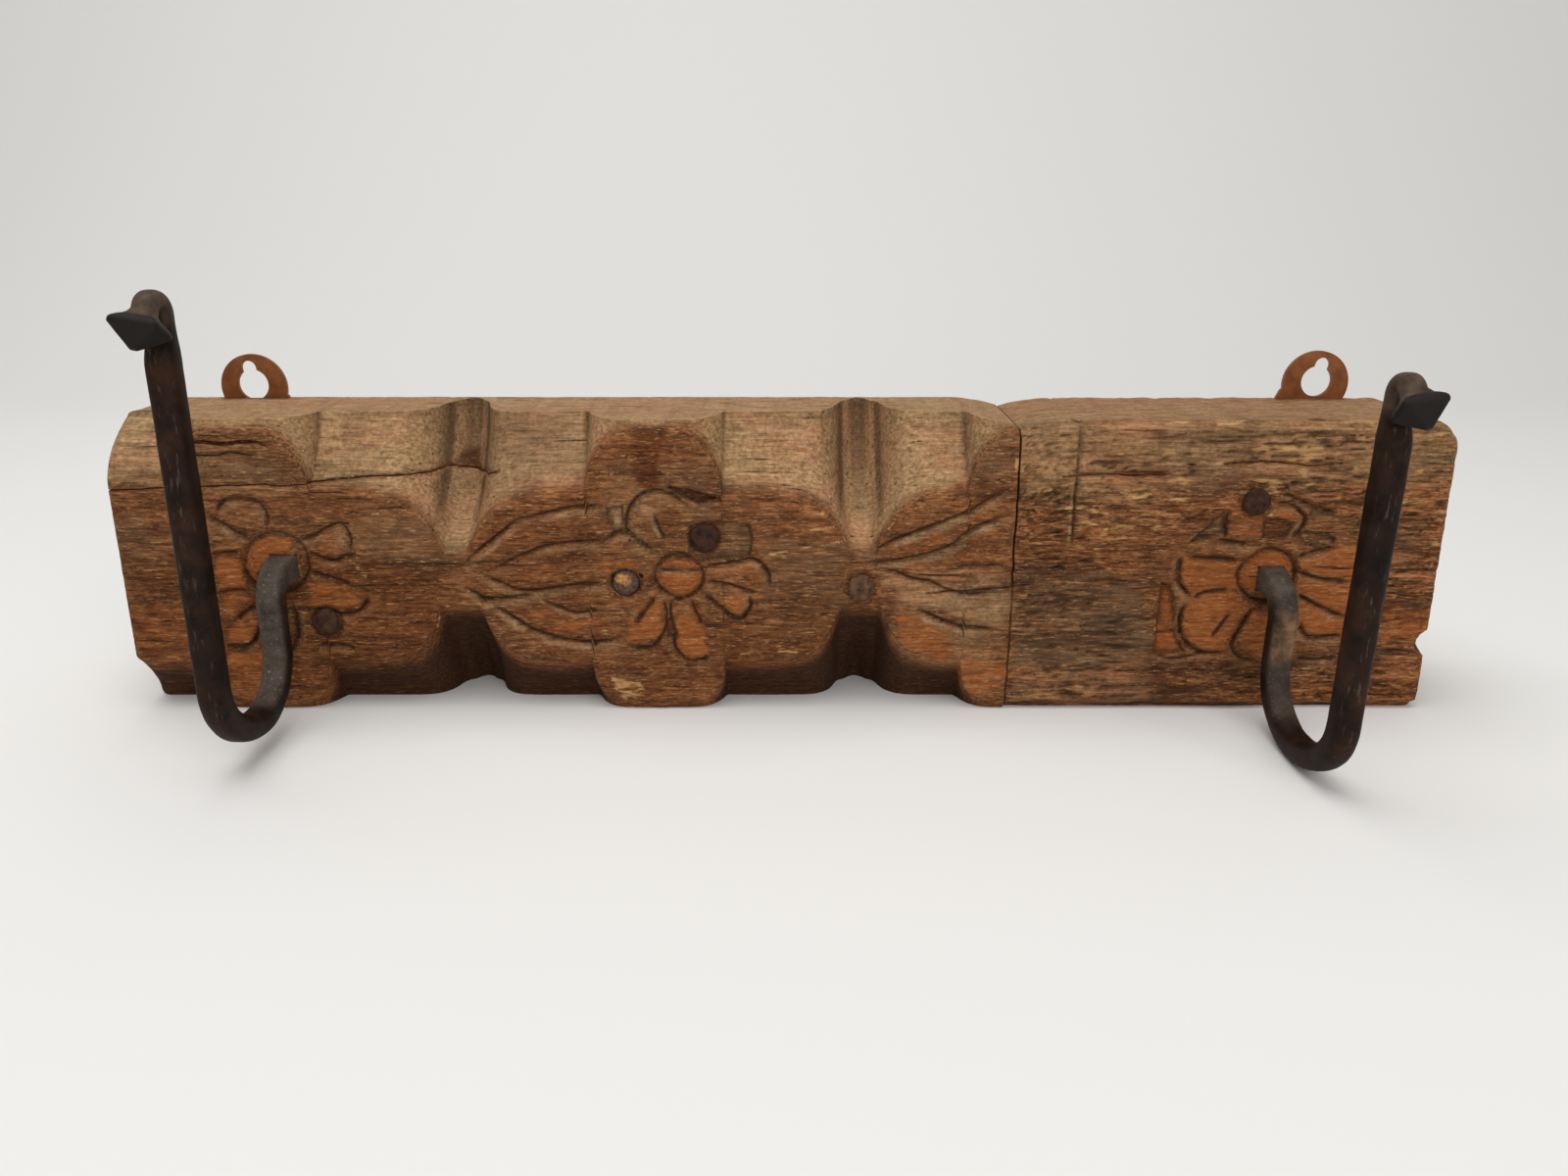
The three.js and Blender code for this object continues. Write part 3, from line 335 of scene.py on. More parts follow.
# Plug and the empty nail hole beside it
PLUG_PLACE = (-54.0, -5.0)
PLUG_RADIUS = 4.8
PLUG_DEPTH = 14.0
PLUG_CHAMFER = 2.0
# The plug's end from the middle outwards: how far, as a share, and how far sunk
PLUG_PROFILE = [(0, 0.0), (0.25, 0.05), (0.45, 0.15), (0.6, 0.4), (0.75, 0.7), (0.88, 1.1), (0.97, 1.6),
                (1, 2.1)]
NAIL_HOLE = (-48.5, -2.2)

# Hooks
TANG = 38.0
TANG_TAPER = 1.6
CURL_RADIUS = 4.3
CURL_THICKNESS = 6.2
CURL_WIDTH = 6.6
BOWL_SHARE = 0.44  # of the span, from the shank to the bowl's lowest place
THIN_REACH = 14.0  # from where the leg thins to the curl
HAMMER_LEAST, HAMMER_MOST = 0.025, 0.1  # share by which hammer blows thin the bar
AROUND_BAR = 32  # steps of the mesh
LEG_STEP = 1.3  # length of each step of the mesh up the leg
SQUARE_BAR, SOFT_BAR = 6, 2.9  # how square its section is: in the wood, and out in the bowl
HOOKS = [
    {"name": "hook_left", "x": -172.2, "sway": -1.1, "exit": 1, "bar": 9.1, "reach": 13, "bend": 9,
     "drop": 23, "span": 45.5, "bowl": 19.5, "lean": -2.2, "rise": 91.6, "turn": 152, "head": 14, "tilt": 9,
     "top_sway": 0.9, "rusty": 0.0},
    {"name": "hook_right", "x": 171, "sway": -1.1, "exit": -3, "bar": 9, "reach": 14.5, "bend": 10,
     "drop": 26.5, "span": 53.5, "bowl": 18.3, "lean": 2.5, "rise": 75.1, "turn": 141, "head": 12.8,
     "tilt": -11, "top_sway": -0.7, "rusty": 1.0},
]
# Each hook's head, from the curl outwards: how far, width and height as shares, and how square it is
NECK_SIZES = [(0.8, 1.04, 1.04, 3), (1.6, 1.15, 1.15, 3.5)]  # shares of the curl's section
HEAD_SIZES = [(2.4, 0.66, 0.66, 4.5), (3.2, 0.82, 0.82, 6), (4.0, 0.94, 0.93, 8), (4.6, 0.99, 0.99, 9),
              (5.4, 1, 1, 9), (6.0, 0.97, 0.97, 9), (6.2, 0.93, 0.93, 10), (8.0, 0.66, 0.66, 10),
              (9.8, 0.38, 0.38, 8), (11.4, 0.14, 0.14, 4)]  # shares of the head's own size
HEAD_HEIGHT = 0.85  # share of its width

# Hanger plates
EAR_RADIUS = 12.1
PLATE_THICKNESS = 1.5
PLATE_SINK = 0.3
PLATE_HALF = 18.0
PLATE_DROP = 28.0
PLATE_CORNER, WAIST_ROUND = 5.0, 1.6
PLATES = [("left", 35.5 - END, 3.6, 9), ("right", END - 32.1, 4.8, -14)]  # side, x, rise, lean to the left
KEYHOLE_RADIUS = 5.6
KEYSLOT_HALF = 2.7
KEYSLOT_REACH = 8.8
KEYHOLE_RAISE = 1.0
SCREW_SPACING = 22.0
SCREW_HEIGHT = 7.0 - PLATE_DROP
SCREW_HEAD = 6.4
SCREW_HEAD_DEPTH = 1.3
SCREW_SHANK = 3.0
SCREW_LENGTH = 18.0

# Colours: one, or from the darkest to the palest
BROWN_WOOD = (0.030, 0.011, 0.004), (0.158, 0.061, 0.022), (0.40, 0.19, 0.080)
RED_WOOD = (0.058, 0.016, 0.004), (0.225, 0.075, 0.023), (0.48, 0.20, 0.074)
KEPT_WOOD = (0.042, 0.014, 0.005), (0.160, 0.059, 0.020), (0.36, 0.155, 0.058)
PINKISH_WOOD = (0.21, 0.095, 0.043), (0.40, 0.205, 0.10), (0.57, 0.345, 0.19)
OLIVE_WOOD = (0.16, 0.088, 0.036), (0.34, 0.205, 0.095), (0.55, 0.365, 0.19)
GREY_WOOD = (0.04, 0.022, 0.011), (0.125, 0.072, 0.036), (0.25, 0.16, 0.085)
OCHRE_WOOD = (0.15, 0.038, 0.009), (0.29, 0.085, 0.021), (0.45, 0.165, 0.045)
STAIN_AND_SHADE_WOOD = (0.028, 0.008, 0.002), (0.185, 0.055, 0.013)
RUBBED_WOOD = (0.32, 0.155, 0.055), (0.60, 0.36, 0.15)
SOOT, STREAK, GOUGED = (0.045, 0.018, 0.008), (0.06, 0.022, 0.009), (0.19, 0.10, 0.045)
# The last of these is painted shade: the near-black laid in grooves, cracks, hollows and bottom coves
SPLINTER, SPLIT, RECESS_SHADE = (0.45, 0.25, 0.105), (0.022, 0.010, 0.005), (0.018, 0.009, 0.005)
PLUG_RIM = (0.04, 0.022, 0.015), (0.14, 0.08, 0.055)
PLUG_CORE = (0.28, 0.11, 0.03), (0.60, 0.30, 0.10)
BLACK_SCALE = (0.005, 0.003, 0.002), (0.021, 0.010, 0.006)
BROWN_SCALE = (0.010, 0.004, 0.002), (0.042, 0.018, 0.009)
SLATE_AND_LIT_IRON = (0.042, 0.032, 0.024), (0.115, 0.090, 0.070)
RUST = (0.06, 0.028, 0.013), (0.24, 0.135, 0.07)
DUSTY_IRON = (0.055, 0.035, 0.022), (0.13, 0.09, 0.06)
HEAD_BLACK, RUBBED_IRON = (0.015, 0.015, 0.014), (0.13, 0.10, 0.085)
GREY_GRIT, PALE_GRIT = (0.30, 0.27, 0.24), (0.26, 0.23, 0.21)
DARK_NAIL = (0.015, 0.006, 0.004), (0.060, 0.026, 0.017)
BROWN_NAIL = (0.045, 0.022, 0.012), (0.15, 0.078, 0.042)
COPPER_TONES = (0.19, 0.063, 0.020), (0.30, 0.11, 0.038)
SCREW_TONES = (0.11, 0.080, 0.058), (0.26, 0.205, 0.16)


# ---------------------------------------------------------------- small helpers

def mix(a, b, share):
    return a + (b - a) * share


def smooth_step(low, high, value):
    share = np.clip((value - low) / (high - low), 0, 1)
    return share * share * (3 - 2 * share)


@functools.cache
def chance_table(seed):
    return np.random.default_rng(seed).uniform(-1, 1, (TABLE_SIZE, TABLE_SIZE))


def wander(a, b, seed):
    """Smooth values between -1 and 1 that change about once in each unit of a and b."""
    table = chance_table(seed)
    a, b = np.broadcast_arrays(np.asarray(a, float), np.asarray(b, float))
    col, row = np.floor(a).astype(int), np.floor(b).astype(int)
    over, up = a - col, b - row
    over, up = over * over * (3 - 2 * over), up * up * (3 - 2 * up)
    col, row = col % (TABLE_SIZE - 1), row % (TABLE_SIZE - 1)
    low = mix(table[col, row], table[col + 1, row], over)
    high = mix(table[col, row + 1], table[col + 1, row + 1], over)
    return mix(low, high, up)


def rough(a, b, seed, layers=4):
    """Wander at several sizes, each half as wide and half as strong as the last."""
    total = sum(wander(a * 2 ** k, b * 2 ** k, seed + k) / 2 ** k for k in range(layers))
    return total / (2 - 2 ** (1 - layers))


def nearest(x, places):
    return np.min([np.abs(x - place) for place in places], axis=0)


def smooth_chain(points, steps=6):
    """A smooth chain of places through the given ones."""
    points = np.asarray(points, float)
    ends = np.vstack([2 * points[0] - points[1], points, 2 * points[-1] - points[-2]])
    share = np.arange(steps)[:, None] / steps
    spans = []
    for a, b, c, d in zip(ends, ends[1:], ends[2:], ends[3:]):
        spans.append(0.5 * (2 * b + (c - a) * share + (2 * a - 5 * b + 4 * c - d) * share ** 2
                            + (3 * b - a - 3 * c + d) * share ** 3))
    return np.vstack(spans + [points[-1:]])


def near_chain(chain, x, z):
    """Distance from each place to a chain, above 0 on its left, and how far along it that place lies."""
    lengths = np.concatenate([[0], np.cumsum(np.hypot(*np.diff(chain, axis=0).T))])
    best, along, side = np.full(x.shape, np.inf), np.zeros(x.shape), np.ones(x.shape)
    for k in range(len(chain) - 1):
        start, step = chain[k], chain[k + 1] - chain[k]
        span = max(step @ step, 1e-9)
        over, up = x - start[0], z - start[1]
        share = np.clip((over * step[0] + up * step[1]) / span, 0, 1)
        far = np.hypot(over - share * step[0], up - share * step[1])
        closer = far < best
        best[closer] = far[closer]
        side[closer] = np.sign(step[0] * up - step[1] * over)[closer]
        along[closer] = (mix(lengths[k], lengths[k + 1], share) / lengths[-1])[closer]
    return best * side, along


def inside_loop(loop, x, z):
    """How far each place lies inside a closed loop, below 0 outside."""
    loop = np.asarray(loop, float)
    inside = np.zeros(x.shape, bool)
    for (ax, az), (bx, bz) in zip(loop, np.roll(loop, -1, axis=0)):
        if az != bz:
            inside ^= ((az > z) != (bz > z)) & (x < (bx - ax) * (z - az) / (bz - az) + ax)
    far, _ = near_chain(np.vstack([loop, loop[:1]]), x, z)
    return np.where(inside, 1, -1) * np.abs(far)


# ---------------------------------------------------------------- the board's blank

def dip(x):
    return KERF_DIP * np.maximum(0, 1 - np.abs(x - KERF) / KERF_DIP_REACH) ** 2


def end_wear(x, radius):
    share = np.maximum(0, 1 - (END - np.abs(x)) / radius)
    return radius * (1 - np.sqrt(np.maximum(0, 1 - share ** 2)))


def reed(x):
    """Depth of the two round grooves beside a column's bead."""
    off = np.abs(nearest(x, COLUMNS) - BEAD_HALF - REED_WIDTH / 2)
    depth = REED_DEPTH * np.cos(np.pi * np.minimum(off / REED_WIDTH, 0.5)) ** 2
    return np.where(x > KERF, 0, depth)


def top_cove(x):
    """Where the top cove leaves the face, and its depth at the top edge."""
    away = nearest(x, COLUMNS)
    share = np.clip(nearest(x, LOBES) / LOBE_HALF, 0, 1)
    valley = np.exp(-((away / COLUMN_SPREAD) ** 2))
    z = TOP - TOP_COVE_HEIGHT - TOP_COLUMN_DROP * np.exp(-np.maximum(away - BEAD_HALF, 0) / COLUMN_SPREAD)
    depth = mix(TOP_COVE_DEPTH, THICKNESS - COLUMN_LAND, valley)
    lobe_z = TOP - mix(TOP_COVE_HEIGHT, TOP_LOBE_DROP, np.sqrt(1 - share ** 2))
    z = np.where(share < 1, np.maximum(z, lobe_z), z)
    depth = np.where(share < 1, mix(TOP_LOBE_DROP, depth, share ** 5), depth)
    z = np.where(x < BEVEL_END, TOP - TOP_COVE_HEIGHT, z)
    depth = np.where(x < BEVEL_END, BEVEL_DEPTH, depth)
    z = np.where(x > KERF, TOP - WORN_EDGE - dip(x), z)
    depth = np.where(x > KERF, WORN_EDGE, depth)
    return z, depth


def bottom_cove(x):
    """The same for the cove along the bottom edge."""
    away = nearest(x, COLUMNS)
    share = np.clip(nearest(x, LOBES) / LOBE_HALF, 0, 1)
    valley = np.exp(-((away / COLUMN_SPREAD) ** 2))
    rise = BOTTOM_COLUMN_RISE * np.exp(-np.maximum(away - BEAD_HALF - REED_WIDTH / 2, 0) / REED_WIDTH)
    z = -TOP + BOTTOM_COVE_HEIGHT + rise
    depth = BOTTOM_COVE_DEPTH + BOTTOM_COLUMN_DEPTH * valley
    lobe_z = -TOP + mix(BOTTOM_COVE_HEIGHT, BOTTOM_LOBE_DROP, np.cbrt(1 - share ** 3))
    z = np.where(share < 1, np.minimum(z, lobe_z), z)
    depth = np.where(share < 1, mix(BOTTOM_LOBE_DROP, depth, share ** 6), depth)
    z = np.where(x > KERF, -TOP + WORN_EDGE, z)
    depth = np.where(x > KERF, WORN_EDGE, depth)
    return z, depth


def spread(start, stop, count):
    """Places from start to stop, closer together across the flowers."""
    fine = np.linspace(start, stop, 4000)
    weight = 1 + CLOSER * (nearest(fine, [x for x, _, _ in HEARTS]) < FLOWER_REACH)
    total = np.cumsum(weight) - weight[0]
    return np.interp(np.linspace(0, total[-1], count), total, fine)


def board_columns():
    """X of each step along the board, with the kerf's walls and the rounded ends caught exactly."""
    left, right = KERF - KERF_HALF, KERF + KERF_HALF
    end_steps = np.array(END_STEPS)
    middle = ACROSS + 1 - 2 * len(end_steps) - 2
    left_count = round(middle * (left + END - END_STRIP) / (LENGTH - 2 * END_STRIP))
    left_part = spread(-END + END_STRIP, left, left_count)
    right_part = spread(right, END - END_STRIP, middle - left_count)
    kerf_floor = [left + KERF_WALL, right - KERF_WALL]
    return np.concatenate([-END + end_steps, left_part, kerf_floor, right_part, END - end_steps[::-1]])


def row_shares(below, above):
    """For each row: its share down the bottom cove, up the face between, and up the top cove."""
    rows = np.arange(UP + 1)
    down = np.clip(1 - rows / below, 0, 1)
    up = np.clip((rows - (UP - above)) / above, 0, 1)
    between = np.clip((rows - below) / (UP - below - above), 0, 1)
    return down, between, up


def in_kerf(x):
    return np.abs(x - KERF) < KERF_HALF - KERF_WALL / 2


def board_edges(x):
    """Z of the board's top and low edges, with their worn corners, chips and the kerf's mouth."""
    chip_size = np.where(x > KERF, CHIPPED[1], CHIPPED[0])
    chipped = chip_size * (1 + rough(x / 5, 5.3, 13))
    score = SCORE_DEPTH * np.clip(1 - np.abs(x - SCORE), 0, 1)
    top_corner = end_wear(x, np.where(x > 0, WORN_CORNER, CORNER_ROUND))
    top = TOP - top_corner - dip(x) - np.where(in_kerf(x), KERF_TOP_DEPTH, np.maximum(chipped, score))
    return top, -TOP + end_wear(x, CORNER_ROUND)


def blank_front():
    """The blank's front as arrays of x, depth behind the face, and z, and how far each place is in a cove."""
    x = board_columns()[:, None]
    plain = x > KERF
    carved_shares, plain_shares = row_shares(*CARVED_ROWS), row_shares(*PLAIN_ROWS)
    down, between, up = (np.where(plain, b, a) for a, b in zip(carved_shares, plain_shares))
    top_edge, low_edge = board_edges(x)
    top_z, top_depth = top_cove(x)
    low_z, low_depth = bottom_cove(x)
    ragged = np.where(plain, RAGGED[1], RAGGED[0])
    top_z = top_z + ragged * rough(x / 7, 3.1, 11) * np.clip((TOP - top_z) / 8, 0, 1)
    low_z = low_z + ragged * rough(x / 7, 8.6, 12) * np.clip((TOP + low_z) / 8, 0, 1)
    top_z = np.minimum(top_z, top_edge - RIM_LEAST)
    low_z = np.maximum(low_z, low_edge + RIM_LEAST)
    z = mix(low_z, top_z, between)
    z = np.where(up > 0, mix(top_z, top_edge, up), z)
    z = np.where(down > 0, mix(low_z, low_edge, down), z)
    up_share = np.where(x < BEVEL_END, up ** BEVEL_ROUNDNESS, 1 - (1 - up) ** COVE_ROUNDNESS)
    down_share = 1 - (1 - down) ** COVE_ROUNDNESS
    cove = np.maximum(up, down)
    hollow = top_depth * up_share + low_depth * down_share + reed(x) * np.minimum(1, 3 * cove)
    depth = np.minimum(hollow + end_wear(x, END_ROUND), THICKNESS - COLUMN_LAND)
    depth = soften(depth, 2, plain[:, 0])
    depth = depth + np.where(in_kerf(x), mix(KERF_LOW_DEPTH, KERF_DEPTH, smooth_step(-12, 20, z)), 0)
    waver = 0.6 * rough(z / 9, 4.4, 14) * np.exp(-(((x - KERF) / 4) ** 2))
    return x + waver, depth, z.copy(), np.broadcast_to(cove, z.shape).copy()


def soften(values, passes, block):
    """Averages each place with its neighbours, but not across the kerf."""
    for _ in range(passes):
        for part in (block, ~block):
            area = values[part]
            wide = np.pad(area, 1, mode="edge")
            area = (4 * area + wide[:-2, 1:-1] + wide[2:, 1:-1] + wide[1:-1, :-2] + wide[1:-1, 2:]) / 8
            values = values.copy()
            values[part] = area
    return values


# ---------------------------------------------------------------- carving on the face

class Carving:
    """How deep each place of the board's front is cut, and the marks that colour it, painted shade and light
    among them.
    """

    def __init__(self, x, z):
        self.x, self.z = x, z
        self.cut = np.zeros_like(x)
        self.marks = {name: np.zeros_like(x) for name in MARKS}
        # Painted light: the gently cut side of each groove is drawn pale, as the side that faces the light
        self.bank = np.zeros_like(x)  # pale, gently cut sides of the grooves
        self.worn = rough(x / 7, z / 3.5, 51, 3)  # uneven wear along cut edges

    def window(self, points, reach):
        """The places near a set of points."""
        low, high = np.min(points, axis=0) - reach, np.max(points, axis=0) + reach
        return (self.x > low[0]) & (self.x < high[0]) & (self.z > low[1]) & (self.z < high[1])

    def near_line(self, points, reach=3):
        """The places near a line, and how far each lies from it."""
        where = self.window(points, reach)
        far, _ = near_chain(smooth_chain(points), self.x[where], self.z[where])
        return where, np.abs(far)

    def round_spot(self, x, z, reach):
        """The places round a spot, and how far to the right of it and above it each lies."""
        where = self.window([(x, z)], reach)
        return where, self.x[where] - x, self.z[where] - z

    def deepen(self, where, depth):
        self.cut[where] = np.maximum(self.cut[where], depth)

    def mark(self, name, where, strength):
        marks = self.marks[name]
        marks[where] = np.maximum(marks[where], strength)

    def groove(self, points, width, depth, lit_bank_strength=1.0):
        """A cut along the points with a steep side on the left and a gentle one on the right."""
        chain = smooth_chain(points)
        where = self.window(chain, width * 2.6)
        far, along = near_chain(chain, self.x[where], self.z[where])
        run = np.clip(0.25 + 6 * np.minimum(along, 1 - along), 0, 1)
        reach = width * run * np.where(far > 0, STEEP, 1 - STEEP)
        wall = np.clip(np.abs(far) / reach, 0, 1)
        slope = np.where(far < 0, np.clip(1 + far / (2.6 * width), 0, 1) ** 1.4,
                         np.clip(1 - far / (0.7 * width), 0, 1))
        self.deepen(where, np.maximum(depth * run * (1 - wall) ** 1.2, 0.34 * depth * run * slope))
        worn = self.worn[where]
        # Painted shade: a dark seam along the groove's line, where its steep wall lies in shadow
        seam = np.exp(-(((far - 0.15) / (0.55 + 0.15 * worn)) ** 2))
        self.mark("recess_shade", where, run * seam * np.clip(0.95 + 0.4 * worn, 0, 1))
        # Painted light: the pale band on the gentle side of the groove
        pale = smooth_step(-0.14 * width, -0.3 * width, far) * smooth_step(-0.9 * width, -0.55 * width, far)
        pale = lit_bank_strength * run * pale * np.clip(0.5 + 0.7 * worn, 0, 0.85)
        self.bank[where] = np.maximum(self.bank[where], pale)

    def notch(self, depth, tint, corners):
        """A flat-floored place cut out between petals."""
        where = self.window(corners, 2)
        x, z = self.x[where], self.z[where]
        inside = inside_loop(corners, x, z) + 0.3 * rough(x / 3, z / 3, 21)
        floor = depth + 0.25 * rough(x / 5, z / 2, 22)
        self.deepen(where, floor * smooth_step(-0.4, 0.9, inside))
        self.mark(tint, where, 0.8 * smooth_step(-0.2, 0.8, inside))
        # Painted shade along the notch's wall
        self.mark("recess_shade", where, 0.7 * np.exp(-(((inside - 0.4) / 0.5) ** 2)))

    def heart(self, x, z, radius):
        """A flower's round heart, domed down into the ring cut about it."""
        where, over, up = self.round_spot(x, z, radius + 4)
        away = np.hypot(over, up) + 0.7 * wander(np.arctan2(up, over) * 1.3 + 9, x / 9, 24)
        dome = HEART_DEPTH * np.clip((away - radius * 0.45) / (radius * 0.55), 0, 1) ** 2.2
        outer = HEART_DEPTH * np.clip(1 - (away - radius) / 2.0, 0, 1) ** 1.4
        self.cut[where] = np.where(away < radius, np.maximum(dome, 0.3 * self.cut[where]),
                                   np.maximum(self.cut[where], outer))
        # Painted shade in the ring cut round the heart, made darker below the heart as painted shadow
        ring = np.exp(-(((away - radius - 0.2) / 0.6) ** 2))
        lower = smooth_step(0.6 * radius, -0.5 * radius, up)
        self.mark("recess_shade", where, ring * np.clip(0.35 + 0.6 * lower + 0.4 * self.worn[where], 0, 1))

    def zone(self, name, strength, ragged, corners):
        """A ragged patch of one of the marks."""
        where = self.window(corners, 2 + 2 * ragged)
        x, z = self.x[where], self.z[where]
        inside = inside_loop(corners, x, z) + 2.2 * ragged * rough(x / 8, z / 2.2, 23)
        edge = 0.7 + 1.3 * ragged
        self.mark(name, where, strength * smooth_step(-edge, edge, inside))


def carve_face(carving):
    for points in PETAL_LINES:
        carving.groove(points, GROOVE_WIDTH, GROOVE_DEPTH, 0.55)
    for points in LEAF_LINES:
        carving.groove(points, GROOVE_WIDTH, GROOVE_DEPTH)
    for points in VEINS:
        carving.groove(points, VEIN_WIDTH, VEIN_DEPTH)
    for depth, tint, corners in NOTCHES:
        carving.notch(depth, tint, corners)
    for x, z, radius in HEARTS:
        carving.heart(x, z, radius)
    carving.groove([(SCORE + 0.2, TOP), (SCORE, 25), (SCORE - 0.4, 9)], 1.6, 1.0)
    for _, x, z, _ in NAILS:
        where, over, up = carving.round_spot(x, z, NAIL_HEAD)
        away = np.hypot(over, up)
        carving.deepen(where, 1.1 * smooth_step(7.5, 5.3, away))
        carving.mark("stain_and_shade", where, 0.5 * smooth_step(8.0, 5.0, away))
        # Painted shade in the ring round each nail head left of the middle
        carving.mark("recess_shade", where, 0.8 * np.exp(-(((away - 5.2) / 0.7) ** 2)) * (x < 0))
    where, over, up = carving.round_spot(*PLUG_PLACE, NAIL_HEAD)
    away = np.hypot(over, up)
    rim = PLUG_RADIUS + FIT_GAP
    carving.deepen(where, 1.4 * np.clip(1 - (away - rim) / PLUG_CHAMFER, 0, 1))
    uneven = 0.5 + 0.5 * wander(np.arctan2(up, over) * 1.5 + 9, 2.4, 25)
    # Painted shade in the gap round the plug
    carving.mark("recess_shade", where, uneven * smooth_step(rim + 1.4, rim, away))


def weather_face(carving):
    """Grain worn open, cracks, ledges and chips, as more depth, with painted shade in the open grain, along
    the cracks and under the ledges.
    """
    x, z = carving.x, carving.z
    block = smooth_step(KERF - 1, KERF + 1, x)
    petals = np.min([np.hypot((x - hx) / 37, (z - hz + 3) / 31) for hx, hz, _ in HEARTS], axis=0)
    open_face = smooth_step(0.85, 1.1, petals)  # the wood about a flower is better kept
    carving.mark("kept", EVERYWHERE, np.maximum(1 - open_face, 0.6 * (1 - block)))
    warp = z + 2.2 * rough(x / 45, z / 16, 31)
    for long, tall, depth, seed in GRAIN:
        line = np.abs(rough(x / long, warp / tall, seed, 3))
        patchy = smooth_step(-0.35, 0.25, rough(x / 30, z / 9, seed + 20, 2))
        open_grain = smooth_step(0.085, 0.0, line) * patchy * mix(0.15, 1, open_face)
        carving.cut += open_grain * depth * mix(0.35, 0.9, block)
        # Painted shade in the open grain
        carving.mark("recess_shade", EVERYWHERE, open_grain * mix(0.35, 0.75, block))
    flakes = rough(x / 24, warp / 5, 62, 3)
    carving.cut += block * open_face * 0.6 * smooth_step(0.12, 0.2, flakes)
    pale = smooth_step(0.05, 0.45, rough(x / 15, z / 3.2, 57, 3)) * smooth_step(-12, 26, z)
    carving.mark("rubbed", EVERYWHERE, 0.85 * pale * open_face * block)
    carving.cut += 0.3 * (1 + rough(x / 22, z / 12, 34, 2))
    for _, _, points in CRACKS:
        where, far = carving.near_line(points)
        # Painted shade along each crack
        carving.mark("recess_shade", where, 0.5 * smooth_step(1.1, 0.2, far))
    for points in SCRATCHES:
        where, far = carving.near_line(points)
        carving.mark("rubbed", where, 0.8 * smooth_step(0.75, 0.35, far))
    step = (z + 3.0 * rough(x / 20, z / 9, 37) + 60) / 8.5 + 0.5 * wander(3.3, z / 14, 38)
    end = smooth_step(-198, -210, x) * (z < 24) * smooth_step(-0.2, 0.3, rough(x / 14, z / 6, 39, 2))
    carving.cut += 0.55 * (step % 1) ** 2 * end
    # Painted shade under each ledge of the worn left end
    carving.mark("recess_shade", EVERYWHERE, 0.45 * smooth_step(0.9, 0.99, step % 1) * end)


def carved_front():
    """The board's front, carved, weathered and marked for its colours."""
    x, depth, z, cove = blank_front()
    face = np.clip(1 - depth / 2.2, 0, 1) * (cove < 0.6)
    carving = Carving(x, z)
    carve_face(carving)
    carved_only = carving.cut.copy()
    weather_face(carving)
    cut = carving.cut * np.maximum(face, 0.45)
    cut = np.where(carved_only > 0.3, np.maximum(cut, carving.cut * np.clip(1 - depth / 9, 0, 1)), cut)
    carving.depth = np.minimum(depth + cut, THICKNESS - LEAST_WOOD)
    colour_marks(carving)
    return carving


def colour_marks(carving):
    """Where the wood is stained, dry or rubbed, with painted shade in its hollows and bottom coves and
    painted light on its upward faces, from its shape and from the tints on the face.
    """
    x, z, depth = carving.x, carving.z, carving.depth
    hollow = depth - soften(depth, 6, x[:, 0] > KERF)
    marks = carving.marks
    # Painted shade: darker in the hollows of the carving
    marks["recess_shade"] = np.maximum(marks["recess_shade"], np.clip((hollow - 0.1) * 1.4, 0, 0.6))
    patchy = smooth_step(-0.1, 0.5, rough(x / 9, z / 4, 52, 3))
    marks["rubbed"] = np.maximum(marks["rubbed"], patchy * np.clip(-hollow * 2.2 - 0.1, 0, 0.85))
    left = x < KERF
    soft = depth + 1.4 * rough(x / 14, z / 5, 53)
    # Paler on the upward-facing top coves and along the top edge: dry wood, and partly painted light from
    # above
    carving.mark("dry_and_lit", left, ((z > 0) * smooth_step(1.2, 5.5, soft))[left])
    carving.mark("dry_and_lit", left, smooth_step(TOP - 3.5, TOP - 0.5, z + 1.2 * rough(x / 8, 2.2, 54))[left])
    carving.mark("dry_and_lit", ~left, (0.6 * smooth_step(TOP - 2.5, TOP, z))[~left])
    # Darker in the bottom coves: stain, and painted shade under the board
    carving.mark("stain_and_shade", left, ((z < -8) * 0.85 * smooth_step(2, 9, depth))[left])
    for name, patches in ZONES.items():
        for patch in patches:
            carving.zone(name, *patch)
    # Painted shade: the bottom coves darkened towards near black beneath the board
    under_shade = 0.75 * smooth_step(2.5, 9, depth) * smooth_step(-8, -20, z)
    carving.mark("recess_shade", left, under_shade[left])
    carving.mark("dry_and_lit", ~left, (0.55 * smooth_step(22, 44, z + 6 * rough(x / 20, z / 6, 55)))[~left])
    marks["dry_and_lit"] *= 1 - marks["stain_and_shade"] * (z > 0)
    marks["rubbed"] *= 0.72
    marks["ochre"] *= (1 - 0.7 * marks["grey"]) * (1 - 0.8 * carving.bank)
    marks["stain_and_shade"] *= 1 - 0.5 * carving.bank
    # Painted light: the pale groove banks join the dry mark
    marks["dry_and_lit"] = np.maximum(marks["dry_and_lit"], carving.bank)


# ---------------------------------------------------------------- meshes

def read_places(mesh):
    places = np.empty(len(mesh.vertices) * 3)
    mesh.vertices.foreach_get("co", places)
    return places.reshape(-1, 3)


def write_places(mesh, places):
    mesh.vertices.foreach_set("co", np.ascontiguousarray(places).ravel())
    mesh.update()


def write_mark(mesh, name, values):
    layer = mesh.attributes.new(name, "FLOAT", "POINT")
    layer.data.foreach_set("value", values.astype(np.float32))


def put(name, data):
    thing = bpy.data.objects.new(name, data)
    bpy.context.scene.collection.objects.link(thing)
    return thing


